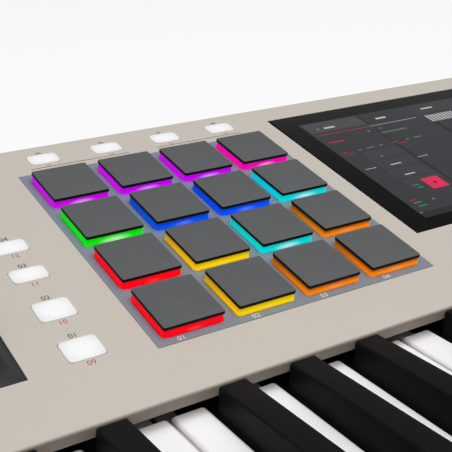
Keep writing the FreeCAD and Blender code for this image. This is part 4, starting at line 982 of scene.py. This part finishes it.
def makeNuts(jacks):
    nuts = []
    for k, x in enumerate(jacks):
        kind = "nut" if k < rear["largeJacks"] else "smallNut"
        nuts.append(ringPiece(kind, rear[kind]))
        nuts[-1].data.transform(facingBack(x, rear["height"]))
    settle(join(nuts, "jack_nuts"), "case", finishes["nickel"])


def makeRoundSockets(places):
    look = rear["contact"]
    rings = []
    contacts = []
    for x in places:
        rings.append(ringPiece("socketRing", rear["ring"]))
        rings[-1].data.transform(facingBack(x, rear["height"]))
        for k in range(look["count"]):
            turn = math.radians(look["step"] * k)
            contacts.append(disc("contact", look["radius"], look["low"], look["high"]))
            contacts[-1].data.transform(facingBack(x + look["reach"] * math.cos(turn),
                                                   rear["height"]
                                                   + look["reach"] * math.sin(turn)))
    settle(join(rings, "socket_rings"), "case", finishes["nickel"])
    settle(join(contacts, "socket_contacts"), "case", finishes["brass"])


def makeRear():
    jacks = socketMiddles("audio_jacks")
    sockets = socketMiddles("data_sockets")
    makeNuts(jacks)
    makeRoundSockets(sockets[:rear["roundSockets"]])
    below = rear["height"] - rear["numberDrop"]
    labels = [number(k + 1, rear["numberHeight"], facingBack(x, below))
              for k, x in enumerate(jacks + sockets)]
    settle(join(labels, "rear_numbers"), "case", finishes["inkDark"])


# Pointers: a white stroke on each knob's top.
pointer = {
    "width": 0.8 * mm,
    "length": 0.5,  # share of the knob's radius
    "middle": 0.42,  # share of the radius, from the knob's middle
    "sink": 0.02 * mm,
}


def makePointers():
    for name in sorted(nodes):
        if name.startswith("parameter_knob") or name == "volume_knob":
            low, high = panelBox(name)
            middle = (low + high) / 2
            radius = (high.x - low.x) / 2
            place = atPanel(middle.x, middle.y + radius * pointer["middle"],
                            high.z - pointer["sink"])
            piece = stroke(name + "_pointer", pointer["width"], radius * pointer["length"],
                           place)
            settle(piece, bodyOf[name], finishes["inkWhite"])


print("stage: rear and pointers")
makeRear()
makePointers()


# Floor, light and camera.
floorLook = {
    "size": 40,
    "height": -0.2 * mm,
    "colour": (0.86, 0.86, 0.86, 1),
    "rough": 0.9,
    "white": 0.86,  # share of plain white that the camera and reflections see
}


def mixShaders(tree, share, first, second, target):
    mix = addNode(tree, "ShaderNodeMixShader")
    tree.links.new(share, mix.inputs["Fac"])
    tree.links.new(first.outputs[0], mix.inputs[1])
    tree.links.new(second.outputs[0], mix.inputs[2])
    tree.links.new(mix.outputs[0], tree.nodes[target].inputs["Surface"])


def makeFloor():
    bpy.ops.object.select_all(action="DESELECT")
    bpy.ops.mesh.primitive_plane_add(size=floorLook["size"], location=(0, 0, floorLook["height"]))
    floor = bpy.context.object
    floor.name = "floor"
    material, tree, shader = newMaterial("paleFloor")
    setInputs(shader, {"Base Color": floorLook["colour"], "Roughness": floorLook["rough"]})
    glow = setInputs(addNode(tree, "ShaderNodeEmission"), {"Strength": 1})
    sight = addNode(tree, "ShaderNodeLightPath")
    seen = calculate(tree, "MAXIMUM", sight.outputs["Is Camera Ray"],
                     sight.outputs["Is Glossy Ray"])
    share = calculate(tree, "MULTIPLY", seen, floorLook["white"])
    mixShaders(tree, share, shader, glow, "Material Output")
    floor.data.materials.append(material)


studio = {
    "sky": 0.20,
    "aim": (-0.05, 0, 0.05),
    "key": {"place": (0.12, -0.30, 1.55), "size": 1.5, "power": 23},
    "fill": {"place": (-1.3, 0.4, 0.9), "size": 1.2, "power": 2},
}


def makeSky():
    world = bpy.data.worlds.new("softStudio")
    bpy.context.scene.world = world
    world.use_nodes = True
    tree = world.node_tree
    sky = tree.nodes["Background"]
    setInputs(sky, {"Color": (1, 1, 1, 1), "Strength": studio["sky"]})
    white = setInputs(addNode(tree, "ShaderNodeBackground"), {"Strength": 1})
    sight = addNode(tree, "ShaderNodeLightPath")
    mixShaders(tree, sight.outputs["Is Camera Ray"], sky, white, "World Output")


def makeLamps():
    for name in ("key", "fill"):
        look = studio[name]
        lamp = bpy.data.lights.new(name, "AREA")
        lamp.size = look["size"]
        lamp.energy = look["power"]
        holder = bpy.data.objects.new(name, lamp)
        holder.location = look["place"]
        aim = Vector(studio["aim"]) - holder.location
        holder.rotation_euler = aim.to_track_quat("-Z", "Y").to_euler()
        bpy.context.scene.collection.objects.link(holder)


cameraLook = {
    "place": (-0.3056, -0.2199, 0.1999),
    "aim": (0.499, 0.783, -0.371),
    "lens": 75.27,
    "sensor": 36,
    "sees": (0.01, 60),  # nearest and farthest
}


def makeCamera():
    camera = bpy.data.objects.new("camera", bpy.data.cameras.new("camera"))
    camera.data.sensor_width = cameraLook["sensor"]
    camera.data.lens = cameraLook["lens"]
    camera.data.clip_start, camera.data.clip_end = cameraLook["sees"]
    camera.location = cameraLook["place"]
    aim = Vector(cameraLook["aim"])
    camera.rotation_euler = aim.to_track_quat("-Z", "Y").to_euler()
    bpy.context.scene.collection.objects.link(camera)
    bpy.context.scene.camera = camera


print("stage: floor, light and camera")
makeFloor()
makeSky()
makeLamps()
makeCamera()
bpy.context.scene.view_settings.view_transform = "Standard"
